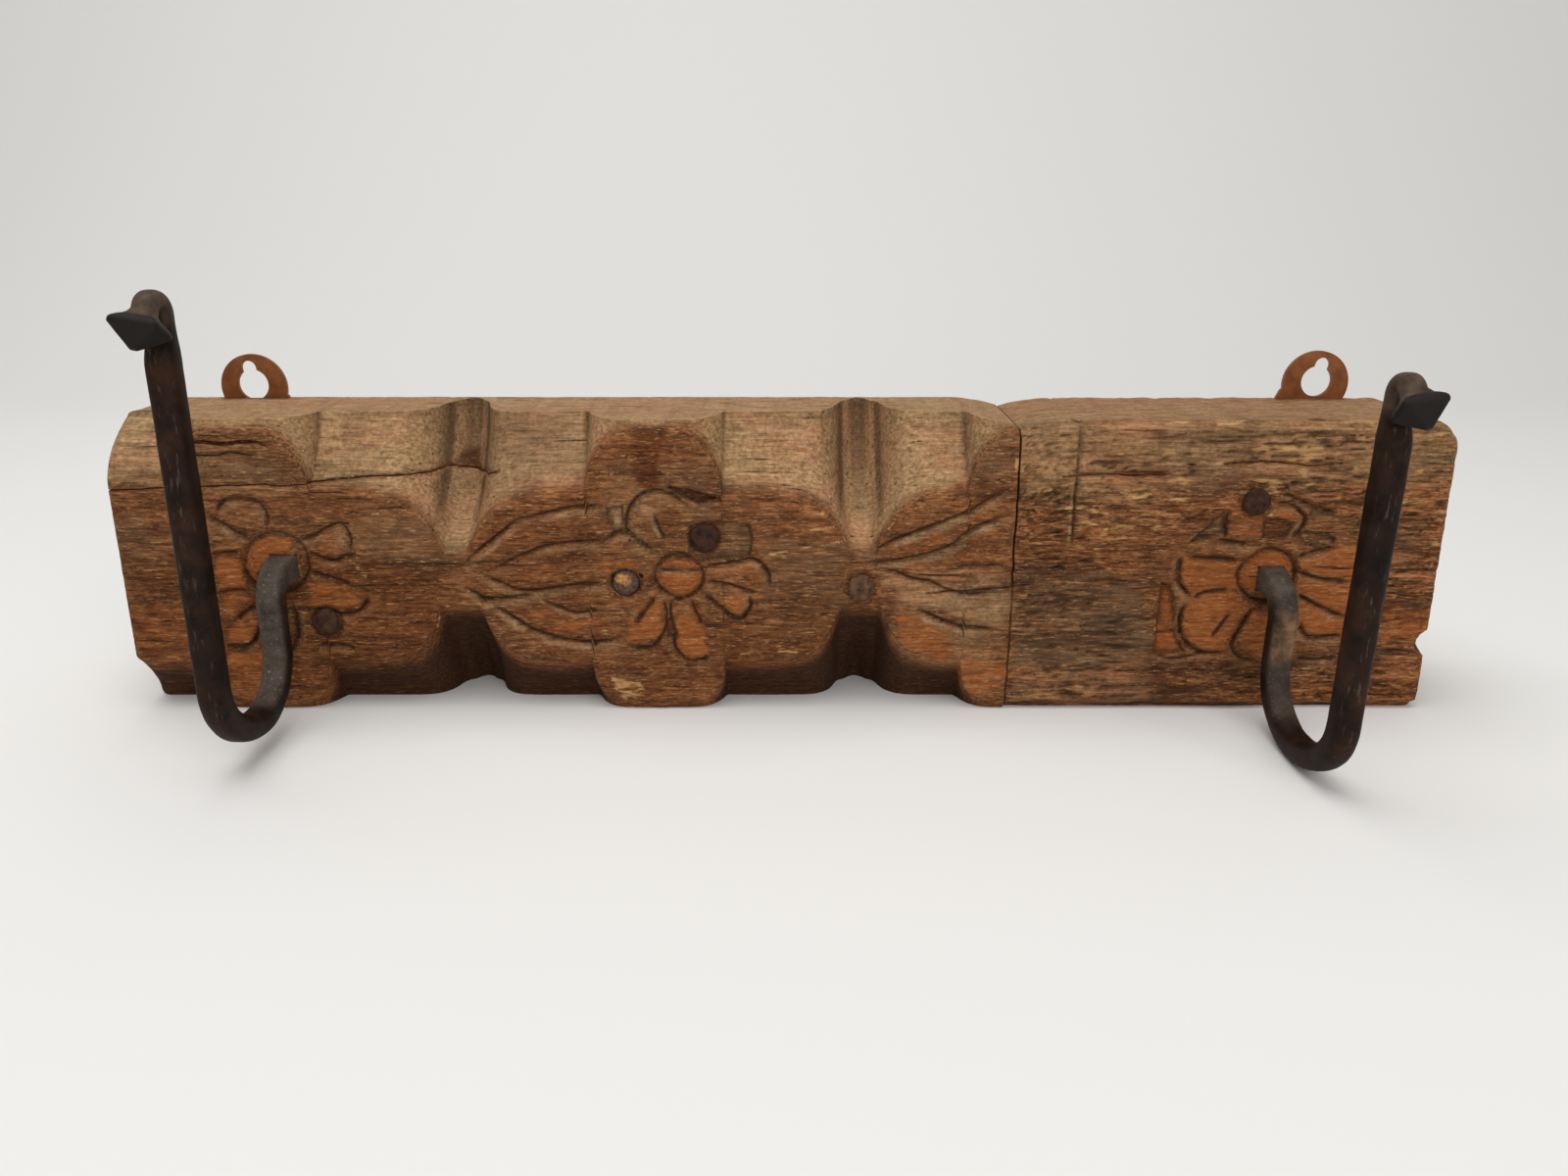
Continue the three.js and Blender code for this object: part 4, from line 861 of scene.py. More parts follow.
def add_piece(name, mesh, material, stands_for):
    """Makes a finished piece of a mesh that is already in its place."""
    mesh.name = name
    mesh.materials.clear()
    mesh.materials.append(material)
    piece = put(name, mesh)
    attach(piece, "root")
    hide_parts(stands_for)


def of_kind(kind, made):
    """The vertices or the edges that an operator made."""
    return [thing for thing in made["geom"] if isinstance(thing, kind)]


def bmesh_of(mesh):
    bm = bmesh.new()
    bm.from_mesh(mesh)
    return bm


def flat_grid(columns, rows):
    """The mesh of a flat grid, and the column and row of each of its vertices."""
    bm = bmesh.new()
    bmesh.ops.create_grid(bm, x_segments=columns, y_segments=rows, size=1.0)
    mesh = bpy.data.meshes.new("grid")
    bm.to_mesh(mesh)
    bm.free()
    shares = (read_places(mesh)[:, :2] + 1) / 2
    column, row = np.rint(shares * (columns, rows)).astype(int).T
    return mesh, column, row


def mesh_of(bm, sharp=40):
    """A mesh of a closed bmesh in millimetres, facing outwards, smooth but for its sharp edges."""
    bmesh.ops.recalc_face_normals(bm, faces=bm.faces)
    bmesh.ops.scale(bm, vec=(MM, MM, MM), verts=bm.verts)
    for face in bm.faces:
        face.smooth = True
    mesh = bpy.data.meshes.new("shape")
    bm.to_mesh(mesh)
    bm.free()
    mesh.set_sharp_from_angle(angle=math.radians(sharp))
    return mesh


def combine(mesh, others, operation="DIFFERENCE"):
    """The mesh with each of the others cut away from it, or joined to it."""
    body = put("blank", mesh)
    tools = [put("cutter", other) for other in others]
    for tool in tools:
        step = body.modifiers.new("seat", "BOOLEAN")
        step.operation = operation
        step.solver = "MANIFOLD"
        step.object = tool
    graph = bpy.context.evaluated_depsgraph_get()
    result = bpy.data.meshes.new_from_object(body.evaluated_get(graph))
    for thing in [body] + tools:
        bpy.data.objects.remove(thing)
    bm = bmesh_of(result)
    bmesh.ops.dissolve_degenerate(bm, dist=NO_LENGTH * MM, edges=bm.edges)
    bmesh.ops.recalc_face_normals(bm, faces=bm.faces)
    bm.to_mesh(result)
    bm.free()
    return result


def box(centre, size, turn=0):
    """A box, turned about an axis through it along Y."""
    bm = bmesh.new()
    bmesh.ops.create_cube(bm, size=1.0)
    bmesh.ops.scale(bm, vec=size, verts=bm.verts)
    bmesh.ops.rotate(bm, cent=(0, 0, 0), matrix=Matrix.Rotation(turn, 3, "Y"), verts=bm.verts)
    bmesh.ops.translate(bm, vec=centre, verts=bm.verts)
    return mesh_of(bm)


def rod(x, z, front, back, front_radius, back_radius=None, segments=48):
    """A round bar or cone along Y."""
    bm = bmesh.new()
    bmesh.ops.create_cone(bm, cap_ends=True, segments=segments, radius1=back_radius or front_radius,
                          radius2=front_radius, depth=back - front)
    bmesh.ops.rotate(bm, cent=(0, 0, 0), matrix=Matrix.Rotation(math.radians(90), 3, "X"), verts=bm.verts)
    bmesh.ops.translate(bm, vec=(x, (front + back) / 2, z), verts=bm.verts)
    return mesh_of(bm)


def plate_base(front, back, grow):
    """The broad foot of a hanger plate below its ear, as a solid from front to back."""
    half, low, ear = PLATE_HALF + grow, -PLATE_DROP - grow, EAR_RADIUS + grow
    side = [(half, -13.6), (ear + 2.1, -12.4), (ear + 0.4, -9.5), (ear - 0.6, -4)]
    outline = [(-half, low), (half, low)] + side + [(-a, b) for a, b in reversed(side)]
    bm = bmesh.new()
    bm.faces.new([bm.verts.new((a, front, b)) for a, b in outline])
    corners = [v for v in bm.verts if v.co.z < low + 0.1]
    bmesh.ops.bevel(bm, geom=corners, offset=PLATE_CORNER, segments=8, profile=0.5, affect="VERTICES",
                    material=-1)
    waist = [v for v in bm.verts if v.co.z > low + PLATE_CORNER + 1]
    bmesh.ops.bevel(bm, geom=waist, offset=WAIST_ROUND, segments=4, profile=0.5, affect="VERTICES",
                    material=-1)
    pushed = bmesh.ops.extrude_face_region(bm, geom=bm.faces[:])
    bmesh.ops.translate(bm, vec=(0, back - front, 0), verts=of_kind(BMVert, pushed))
    return mesh_of(bm)


def to_plate(mesh, x, rise, lean):
    """Moves what was made round an ear's centre to its place on the board."""
    turn = Matrix.Rotation(math.radians(-lean), 4, "Y")
    mesh.transform(Matrix.Translation(Vector((x, 0, TOP + rise)) * MM) @ turn)
    return mesh


def plate_mesh(x, rise, lean):
    """A stamped keyhole plate with two countersunk holes."""
    front, back = -PLATE_SINK - PLATE_THICKNESS, -PLATE_SINK
    ear = rod(0, 0, front, back, EAR_RADIUS, segments=96)
    plate = combine(plate_base(front, back, 0), [ear], "UNION")
    slot_top = KEYHOLE_RAISE + KEYSLOT_REACH - KEYSLOT_HALF
    slot = box((0, 0, (KEYHOLE_RAISE + slot_top) / 2), (2 * KEYSLOT_HALF, 9, slot_top - KEYHOLE_RAISE))
    keyhole = rod(0, KEYHOLE_RAISE, -4, 4, KEYHOLE_RADIUS, segments=64)
    holes = [keyhole, slot, rod(0, slot_top, -4, 4, KEYSLOT_HALF)]
    narrow, wide = SCREW_SHANK / 2 + FIT_GAP, SCREW_HEAD / 2 + FIT_GAP
    for aside in (-SCREW_SPACING / 2, SCREW_SPACING / 2):
        holes.append(rod(aside, SCREW_HEIGHT, front - 1, back + 1, narrow, segments=32))
        holes.append(rod(aside, SCREW_HEIGHT, back - SCREW_HEAD_DEPTH, back + 0.01, narrow, wide, 32))
    plate = combine(plate, holes)
    plate.set_sharp_from_angle(angle=math.radians(35))
    return to_plate(plate, x, rise, lean)


def screw_places(x, rise, lean):
    """Where a plate's two screws go through the back."""
    turn = Matrix.Rotation(math.radians(-lean), 3, "Y")
    spots = [turn @ Vector((side * SCREW_SPACING / 2, 0, SCREW_HEIGHT)) for side in (-1, 1)]
    return [(x + spot.x, TOP + rise + spot.z) for spot in spots]


def end_bite():
    """The chunk that is broken out of the right end."""
    bm = bmesh.new()
    bmesh.ops.create_icosphere(bm, subdivisions=4, radius=1.0)
    for vert in bm.verts:
        lump = 1 + 0.16 * float(rough(vert.co.x * 2 + 9, vert.co.z * 2 + vert.co.y + 9, 66, 3))
        vert.co *= lump
    bmesh.ops.scale(bm, vec=(6.5, 10, 5.5), verts=bm.verts)
    bmesh.ops.translate(bm, vec=(END + 1.5, FACE, -27.5), verts=bm.verts)
    return mesh_of(bm)


def crack_blade(carving, deep, wide, points):
    """A thin blade along a crack, reaching a little below the wood's surface."""
    line = smooth_chain(points, 5)
    count = len(line) - 1
    bm = bmesh.new()
    bmesh.ops.create_grid(bm, x_segments=count, y_segments=1, size=1.0)
    for vert in bm.verts:
        share = (vert.co.x + 1) / 2
        x, z = line[round(share * count)]
        surface = carving.depth.flat[np.argmin(np.hypot(carving.x - x, carving.z - z))]
        taper = min(1, 6 * (1 - share), 6 * share if points[0][0] > -END else 1)
        y = FACE - 1 if vert.co.y < 0 else FACE + surface + deep * max(taper, 0.1)
        vert.co = (x, y, z + 0.45 * float(rough(x / 5, z / 3, 35, 2)))
    bmesh.ops.solidify(bm, geom=bm.faces[:], thickness=wide)
    return mesh_of(bm)


def board_seats(carving):
    """Cutters for everything that is let into the board, for its cracks and for its broken end."""
    cutters = [end_bite()] + [crack_blade(carving, *crack) for crack in CRACKS]
    floor = -(PLATE_SINK + PLATE_THICKNESS + FIT_GAP)
    screw_end = -SCREW_LENGTH - PLATE_SINK - FIT_GAP
    for _, x, rise, lean in PLATES:
        cutters.append(to_plate(plate_base(floor, 1, FIT_GAP), x, rise, lean))
        cutters.append(rod(x, TOP + rise, floor, 1.0, EAR_RADIUS + FIT_GAP, segments=64))
        for spot in screw_places(x, rise, lean):
            cutters.append(rod(*spot, screw_end, 0.5, SCREW_SHANK / 2 + FIT_GAP, segments=20))
    square_holes = [(hook["x"], hook["exit"], hook["bar"], TANG) for hook in HOOKS]
    square_holes += [(x, z, NAIL_SHANK, NAIL_LENGTH) for _, x, z, _ in NAILS]
    for x, z, wide, deep in square_holes:
        hole, deep = wide + 0.1, deep + FIT_GAP + 2
        cutters.append(box((x, FACE - 2 + deep / 2, z), (hole, deep, hole)))
    cutters.append(rod(*PLUG_PLACE, FACE - 2, FACE + PLUG_DEPTH + FIT_GAP, PLUG_RADIUS + FIT_GAP))
    cutters.append(rod(*NAIL_HOLE, FACE - 2, FACE + 4, 1.3, 0.8, segments=16))
    return cutters


def lean_ends(places):
    """Moves the board's ends in towards the top."""
    share = np.maximum(0, 1 - (END - np.abs(places[:, 0])) / END_LEAN_REACH)
    places[:, 0] -= np.sign(places[:, 0]) * END_LEAN * share * (places[:, 2] + TOP) / HEIGHT
    return places


def board_mesh(carving):
    mesh, column, row = flat_grid(ACROSS, UP)
    front = np.stack([carving.x, FACE + carving.depth, carving.z], axis=-1)[column, row]
    write_places(mesh, lean_ends(front))
    for name, values in carving.marks.items():
        write_mark(mesh, name, values[column, row])
    bm = bmesh_of(mesh)
    close_behind(bm)
    return mesh_of(bm, sharp=60)


def side_marks(is_top, is_end, is_block):
    """Marks of the wood on the board's top, under side and ends: the top pale and the under side darker,
    partly painted light from above and painted shade below.
    """
    marks = dict.fromkeys(MARKS, 0.0)
    marks["dry_and_lit"] = (0.75 if is_block else 1.0) if is_top else 0.2
    marks["stain_and_shade"] = 0.0 if is_top else (0.3 if is_end else 0.7)
    marks["grey"] = 0.25
    return marks


def close_behind(bm):
    """Runs the front's rim back to the wall in steps, its top worn a little, and closes the flat back."""
    layers = {name: bm.verts.layers.float[name] for name in MARKS}
    rim = [edge for edge in bm.edges if edge.is_boundary]
    for steps_left in range(BACK_STEPS - 1, -1, -1):
        made = bmesh.ops.extrude_edge_only(bm, edges=rim)
        rim = [edge for edge in of_kind(BMEdge, made) if edge.is_boundary]
        for vert in of_kind(BMVert, made):
            x, y, z = vert.co
            y *= steps_left / (steps_left + 1)
            vert.co.y = y
            is_end = abs(x) > END - END_TURN
            is_top = z > 0 and not is_end
            for name, value in side_marks(is_top, is_end, x > KERF).items():
                vert[layers[name]] = value
            if is_top and steps_left == BACK_STEPS - 1:
                vert.co.z -= 0.2 * (1 + float(rough(x / 14, y / 6, 61)))
    made = bmesh.ops.extrude_edge_only(bm, edges=rim)
    inner = of_kind(BMVert, made)
    bmesh.ops.scale(bm, vec=BACK_INSET, verts=inner)
    for vert in inner:
        for name, value in BACK_MARKS.items():
            vert[layers[name]] = value
    bmesh.ops.contextual_create(bm, geom=[edge for edge in of_kind(BMEdge, made) if edge.is_boundary])


def hook_line(hook):
    """The bar's middle line in front of the face, with its width, thickness and squareness at each place."""
    spots = []

    def add(out, height, wide, thick, square=SOFT_BAR):
        spots.append((out, height, wide, thick, square))

    def arc(out, height, over, up, start, end, count):
        for angle in np.radians(np.linspace(start, end, count)):
            add(out + over * math.cos(angle), height + up * math.sin(angle), bar, bar)

    bar, reach, bend = hook["bar"], hook["reach"], hook["bend"]
    span, drop, rise, bowl = hook["span"], hook["drop"], hook["rise"], hook["bowl"]
    add(-TANG, 0, bar - TANG_TAPER, bar - TANG_TAPER, SQUARE_BAR)
    for out in np.linspace(TANG_TAPER - TANG, -1, 14):
        add(out, 0, bar, bar, SQUARE_BAR)
    for out in np.linspace(0, reach - bend - 0.5, 4):
        add(out, 0, bar, bar, 4)
    arc(reach - bend, -bend, bend, bend, 90, 0, 13)
    for height in np.linspace(-bend, -drop, 10)[1:-1]:
        add(reach, height, bar, bar)
    near = span * BOWL_SHARE
    far, deep = span - near, bowl * (2 - 2 * BOWL_SHARE)
    arc(reach + near, -drop, near, bowl, 180, 270, 28)
    arc(reach + near, deep - bowl - drop, far, deep, 273, 360, 30)
    foot = reach + span
    for height in np.arange(deep - bowl - drop + LEG_STEP, rise - 0.01, LEG_STEP):
        share = smooth_step(rise - THIN_REACH, rise, height)
        thick = mix(bar, CURL_THICKNESS, share)
        lean = hook["lean"] * (height + drop) / (rise + drop)
        add(foot + lean - (bar - thick) / 4, height, mix(bar, CURL_WIDTH, share), thick)
    back = spots[-1][0]
    for angle in np.radians(np.linspace(0, hook["turn"], 18))[1:]:
        add(back + CURL_RADIUS * (1 - math.cos(angle)), rise + CURL_RADIUS * math.sin(angle),
            CURL_WIDTH, CURL_THICKNESS)
    neck = len(spots)
    add_head(spots, hook)
    return np.array(spots), neck


def add_head(spots, hook):
    """The forged head: a flare, a rim and a low four-sided point."""
    out, height = spots[-1][:2]
    turn = math.radians(90 - hook["turn"])
    neck, head = (CURL_WIDTH, CURL_THICKNESS), (hook["head"], hook["head"] * HEAD_HEIGHT)
    for (wide, tall), sizes in ((neck, NECK_SIZES), (head, HEAD_SIZES)):
        for far, across, up, square in sizes:
            spots.append((out + far * math.cos(turn), height + far * math.sin(turn),
                          wide * across, tall * up, square))


def hook_mesh(hook, seed):
    """The bar: a grid rolled round its middle line, with hammer marks, and a tilted head."""
    spots, neck = hook_line(hook)
    mesh, column, station = flat_grid(AROUND_BAR, len(spots) - 1)
    line = np.gradient(spots[:, :2], axis=0)
    line /= np.hypot(line[:, 0], line[:, 1])[:, None]
    out, height, wide, thick, square = spots[station].T
    along = line[station]
    far = np.concatenate([[0], np.cumsum(np.hypot(*np.diff(spots[:, :2], axis=0).T))])[station]
    turn = column % AROUND_BAR * 2 * math.pi / AROUND_BAR + math.pi / AROUND_BAR
    cos, sin = np.cos(turn), np.sin(turn)
    square = np.maximum(square, mix(SOFT_BAR, 9, smooth_step(8, 1.5, out)))
    across = np.sign(cos) * np.abs(cos) ** (2 / square)
    up = np.sign(sin) * np.abs(sin) ** (2 / square)
    loose = smooth_step(0.5, 5, out)
    blows = rough(far / 10, cos * 1.6 + 7, seed, 2) + rough(far / 8, sin * 1.6 + 19, seed + 5, 2)
    pits = rough(far / 2.4, cos * 5 + 30, seed + 9, 2) + rough(far / 2.4, sin * 5 + 50, seed + 12, 2)
    size = 1 - loose * np.clip(HAMMER_LEAST + 0.022 * blows + 0.006 * pits, 0, HAMMER_MOST)
    on_leg = out > hook["reach"] + hook["span"] / 2
    risen = np.clip((height - hook["rise"]) / THIN_REACH + 1, 0, 1) * on_leg
    side = hook["x"] + hook["sway"] * np.clip(out / hook["span"], 0, 1) + hook["top_sway"] * risen
    aside = across * size * wide / 2
    forward = out - along[:, 1] * up * size * thick / 2
    tall = height + along[:, 0] * up * size * thick / 2
    pivot = spots[neck - 1, 1]
    tilt = np.where(station >= neck, math.radians(-hook["tilt"]), 0)
    x = side + aside * np.cos(tilt) - (tall - pivot) * np.sin(tilt)
    z = hook["exit"] + pivot + aside * np.sin(tilt) + (tall - pivot) * np.cos(tilt)
    write_places(mesh, np.stack([x, FACE - forward, z], axis=-1))

    front = np.clip(-sin, 0, 1) ** 4 * on_leg
    corner = (np.minimum(np.abs(cos), np.abs(sin)) * 1.41) ** 6
    facing = sin * ~on_leg
    root = smooth_step(hook["reach"] + 1, hook["reach"] - 4, out)
    # The grey mark: slate grey round the root, and painted light on the faces near the wood that turn up and
    # forward
    slate_and_lit = np.maximum(root, smooth_step(0.1, 0.9, facing) * smooth_step(36, 24, out))
    warm = smooth_step(-6, -11, height) * smooth_step(-27, -19, height) * smooth_step(0.3, 0.9, facing)
    dusty = smooth_step(hook["rise"] - 6, hook["rise"] + 1, height) * on_leg
    in_head = station >= neck + 3
    write_mark(mesh, "rubbed", loose * np.clip(0.9 * front + 0.25 * corner, 0, 1))
    write_mark(mesh, "grey", slate_and_lit * (1 - 0.45 * hook["rusty"] * (1 - root)))
    write_mark(mesh, "rust", loose * warm * hook["rusty"])
    write_mark(mesh, "dust", dusty * ~in_head)
    write_mark(mesh, "head", in_head.astype(float))

    bm = bmesh_of(mesh)
    bmesh.ops.remove_doubles(bm, verts=bm.verts, dist=0.001)
    bmesh.ops.holes_fill(bm, edges=[edge for edge in bm.edges if edge.is_boundary], sides=0)
    return mesh_of(bm, sharp=32)


def turned(profile, x, z, steps=40):
    """A solid turned about an axis along Y through (x, z): profile points are (radius, y)."""
    bm = bmesh.new()
    verts = [bm.verts.new((radius, y, 0)) for radius, y in profile]
    edges = [bm.edges.new(pair) for pair in zip(verts, verts[1:])]
    bmesh.ops.spin(bm, geom=verts + edges, cent=(0, 0, 0), axis=(0, 1, 0), angle=2 * math.pi, steps=steps,
                   use_merge=True)
    bmesh.ops.remove_doubles(bm, verts=bm.verts, dist=0.001)
    bmesh.ops.translate(bm, vec=(x, 0, z), verts=bm.verts)
    return bm


def nail_mesh(x, z, browned, seed):
    """A hand-made nail: a flattish head with hammer marks on a tapering shank."""
    seat, tip = FACE + NAIL_SINK - FIT_GAP, FACE + NAIL_LENGTH
    head, shank = NAIL_HEAD / 2, NAIL_SHANK / 2
    profile = [(share * head, seat - lift * NAIL_HEAD_HEIGHT) for share, lift in NAIL_PROFILE]
    profile += [(head * 0.9, seat), (shank, seat), (shank, seat + 0.5), (shank * 0.3, tip), (0, tip)]
    bm = turned(profile, x, z)
    brown = bm.verts.layers.float.new("browned")
    for vert in bm.verts:
        vert[brown] = browned
        if vert.co.y > seat + 0.1:
            continue
        a, b = vert.co.x - x, vert.co.z - z
        blow = float(rough(a / 3.4 + 20, b / 3.4 + 20, seed, 2))
        edge = 1 - 0.05 * (1 + float(wander(math.atan2(b, a) * 1.4 + 9, 3.3, seed + 4)))
        vert.co.x, vert.co.z = x + a * edge, z + b * edge
        vert.co.y += 0.35 * (0.6 + blow) * min(1, (seat - vert.co.y) / 0.8)
    return mesh_of(bm, sharp=50)


def plug_mesh(x, z):
    """The round plug, its end worn hollow beside a harder middle."""
    back = FACE + PLUG_DEPTH
    profile = [(share * PLUG_RADIUS, FACE + 0.2 + depth) for share, depth in PLUG_PROFILE]
    bm = turned(profile + [(PLUG_RADIUS, back), (0, back)], x, z, 48)
    core = bm.verts.layers.float.new("core")
    for vert in bm.verts:
        a, b = vert.co.x - x, vert.co.z - z
        uneven = float(rough(a / 1.8 + 30, b / 1.8 + 30, 81, 3))
        if vert.co.y < FACE + 4:
            vert.co.y += 0.3 * (1 + uneven)
        vert[core] = float(smooth_step(2.4, 1.4, math.hypot((a + 0.8) / 1.25, b - 1.4) + 0.8 * uneven))
    return mesh_of(bm, sharp=60)


# ---------------------------------------------------------------- materials

class Finish:
    """A material's nodes, with short calls for those used here."""

    def __init__(self, name, metallic, specular):
        self.material = bpy.data.materials.new(name)
        self.material.use_nodes = True
        self.tree = self.material.node_tree
        self.shader = next(n for n in self.tree.nodes if n.type == "BSDF_PRINCIPLED")
        self.shader.inputs["Metallic"].default_value = metallic
        self.shader.inputs["Specular IOR Level"].default_value = specular
        self.place = self.tree.nodes.new("ShaderNodeTexCoord").outputs["Object"]

    def link(self, source, target):
        self.tree.links.new(source, target)

    def fill(self, sockets, values):
        """Links each value that comes from a node and writes in each plain one."""
        for socket, value in zip(sockets, values):
            if hasattr(value, "node"):
                self.link(value, socket)
            else:
                socket.default_value = (*value, 1) if isinstance(value, tuple) else value

    def noise(self, stretch, detail=4, roughness=0.55):
        mapping = self.tree.nodes.new("ShaderNodeMapping")
        mapping.inputs["Scale"].default_value = stretch
        texture = self.tree.nodes.new("ShaderNodeTexNoise")
        texture.inputs["Scale"].default_value = 1.0
        texture.inputs["Detail"].default_value = detail
        texture.inputs["Roughness"].default_value = roughness
        self.link(self.place, mapping.inputs["Vector"])
        self.link(mapping.outputs["Vector"], texture.inputs["Vector"])
        return texture.outputs["Fac"]

    def ramp(self, pattern, low, high, *tones):
        """Colours or greys from low to high. Of three, the middle one lies at 0.5."""
        node = self.tree.nodes.new("ShaderNodeValToRGB")
        elements = node.color_ramp.elements
        stops = (low, high)
        if len(tones) == 3:
            elements.new(0.5)
            stops = (low, 0.5, high)
        for element, position, tone in zip(elements, stops, tones):
            element.position = position
            element.color = (*tone, 1) if isinstance(tone, tuple) else (tone, tone, tone, 1)
        self.link(pattern, node.inputs["Fac"])
        return node.outputs["Color"]

    def mark(self, name):
        node = self.tree.nodes.new("ShaderNodeAttribute")
        node.attribute_name = name
        return node.outputs["Fac"]

    def blend(self, factor, under, over):
        node = self.tree.nodes.new("ShaderNodeMix")
        node.data_type = "RGBA"
        self.fill((node.inputs[0], node.inputs[6], node.inputs[7]), (factor, under, over))
        return node.outputs[2]

    def times(self, first, second):
        node = self.tree.nodes.new("ShaderNodeMath")
        node.operation = "MULTIPLY"
        node.use_clamp = True
        self.fill(node.inputs, (first, second))
        return node.outputs[0]

    def patch(self, name, pattern, low, high, least, most=1.0):
        """A mark of the mesh broken up by a pattern."""
        return self.times(self.mark(name), self.ramp(pattern, low, high, least, most))

    def torn(self, name, pattern, low, high):
        """A mark of the mesh that a pattern gives a crisp, ragged edge."""
        node = self.tree.nodes.new("ShaderNodeMath")
        node.operation = "MULTIPLY_ADD"
        self.fill(node.inputs, (self.mark(name), 0.5, pattern))
        return self.ramp(node.outputs[0], low, high, 0.0, 0.95)

    def colour(self, value):
        self.link(value, self.shader.inputs["Base Color"])

    def roughness(self, value):
        self.link(value, self.shader.inputs["Roughness"])

    def bump(self, layers):
        """Layers are (height, strength, depth in metres), the coarsest first."""
        normal = None
        for height, strength, depth in layers:
            node = self.tree.nodes.new("ShaderNodeBump")
            node.inputs["Strength"].default_value = strength
            node.inputs["Distance"].default_value = depth
            self.link(height, node.inputs["Height"])
            if normal:
                self.link(normal, node.inputs["Normal"])
            normal = node.outputs["Normal"]
        self.link(normal, self.shader.inputs["Normal"])


def old_timber():
    finish = Finish("old_timber_worn", metallic=0.0, specular=0.15)
    fibre = finish.noise((80, 1000, 1000), detail=6, roughness=0.68)
    streak = finish.noise((34, 300, 300), roughness=0.6)
    cloud = finish.noise((30, 70, 70), detail=5)
    flake = finish.noise((110, 420, 420), detail=5, roughness=0.65)
    splinter = finish.noise((260, 1900, 1900), detail=3, roughness=0.65)
    split = finish.noise((26, 620, 620), roughness=0.6)
    stroke = finish.noise((240, 16, 16), detail=3)
    scuff = finish.noise((170, 420, 420), detail=6, roughness=0.75)
    fleck = finish.noise((360, 1500, 1500), roughness=0.75)
    mottle = finish.noise((700, 700, 700), detail=5, roughness=0.72)
    soot = finish.noise((24, 95, 95), detail=6, roughness=0.62)
    worn = finish.blend(0.5, fibre, fleck)
    chalk = finish.blend(0.5, fibre, mottle)

    # The wood itself, brown to red, with soot and dark streaks
    brown = finish.ramp(worn, 0.40, 0.60, *BROWN_WOOD)
    red = finish.ramp(worn, 0.40, 0.61, *RED_WOOD)
    wood = finish.blend(finish.ramp(cloud, 0.38, 0.58, 0.0, 1.0), brown, red)
    wood = finish.blend(finish.ramp(soot, 0.36, 0.50, 0.75, 0.0), wood, SOOT)
    kept = finish.ramp(scuff, 0.38, 0.62, *KEPT_WOOD)
    wood = finish.blend(finish.patch("kept", cloud, 0.36, 0.60, 0.3, 0.8), wood, kept)
    wood = finish.blend(finish.ramp(streak, 0.34, 0.48, 0.6, 0.0), wood, STREAK)

    # Dry, bleached wood in the coves, with the strokes of the gouge; the same mark also holds painted light
    # on upward faces and the lit banks of the grooves
    olive = finish.ramp(chalk, 0.38, 0.62, *OLIVE_WOOD)
    pinkish = finish.ramp(chalk, 0.38, 0.62, *PINKISH_WOOD)
    dry_and_lit = finish.blend(finish.ramp(cloud, 0.42, 0.62, 0.0, 1.0), olive, pinkish)
    dry_and_lit = finish.blend(finish.ramp(stroke, 0.36, 0.50, 0.3, 0.0), dry_and_lit, GOUGED)
    wood = finish.blend(finish.mark("dry_and_lit"), wood, dry_and_lit)

    # Grey, stained and orange places, the stain mark also painted shade in the bottom coves, on the under
    # side and low on the face, then pale splinters, open splits and rubbed edges
    grey = finish.ramp(fibre, 0.28, 0.72, *GREY_WOOD)
    wood = finish.blend(finish.patch("grey", cloud, 0.36, 0.56, 0.2, 0.85), wood, grey)
    wood = finish.blend(finish.mark("stain_and_shade"), wood, finish.ramp(worn, 0.40, 0.60, *STAIN_AND_SHADE_WOOD))
    ochre = finish.ramp(worn, 0.34, 0.66, *OCHRE_WOOD)
    wood = finish.blend(finish.torn("ochre", flake, 0.60, 0.84), wood, ochre)
    wood = finish.blend(finish.ramp(splinter, 0.585, 0.67, 0.0, 0.8), wood, SPLINTER)
    wood = finish.blend(finish.ramp(split, 0.30, 0.37, 0.95, 0.0), wood, SPLIT)
    rubbed = finish.ramp(fibre, 0.32, 0.68, *RUBBED_WOOD)
    wood = finish.blend(finish.torn("rubbed", flake, 0.78, 0.85), wood, rubbed)
    # Painted shade: this mark darkens the grooves, cracks, hollows and bottom coves to near black
    finish.colour(finish.blend(finish.mark("recess_shade"), wood, RECESS_SHADE))
    finish.roughness(finish.ramp(fibre, 0.3, 0.7, 0.9, 0.68))
    finish.bump([(streak, 0.4, 0.0008), (split, 0.4, 0.0006), (fleck, 0.7, 0.0005)])
    return finish.material


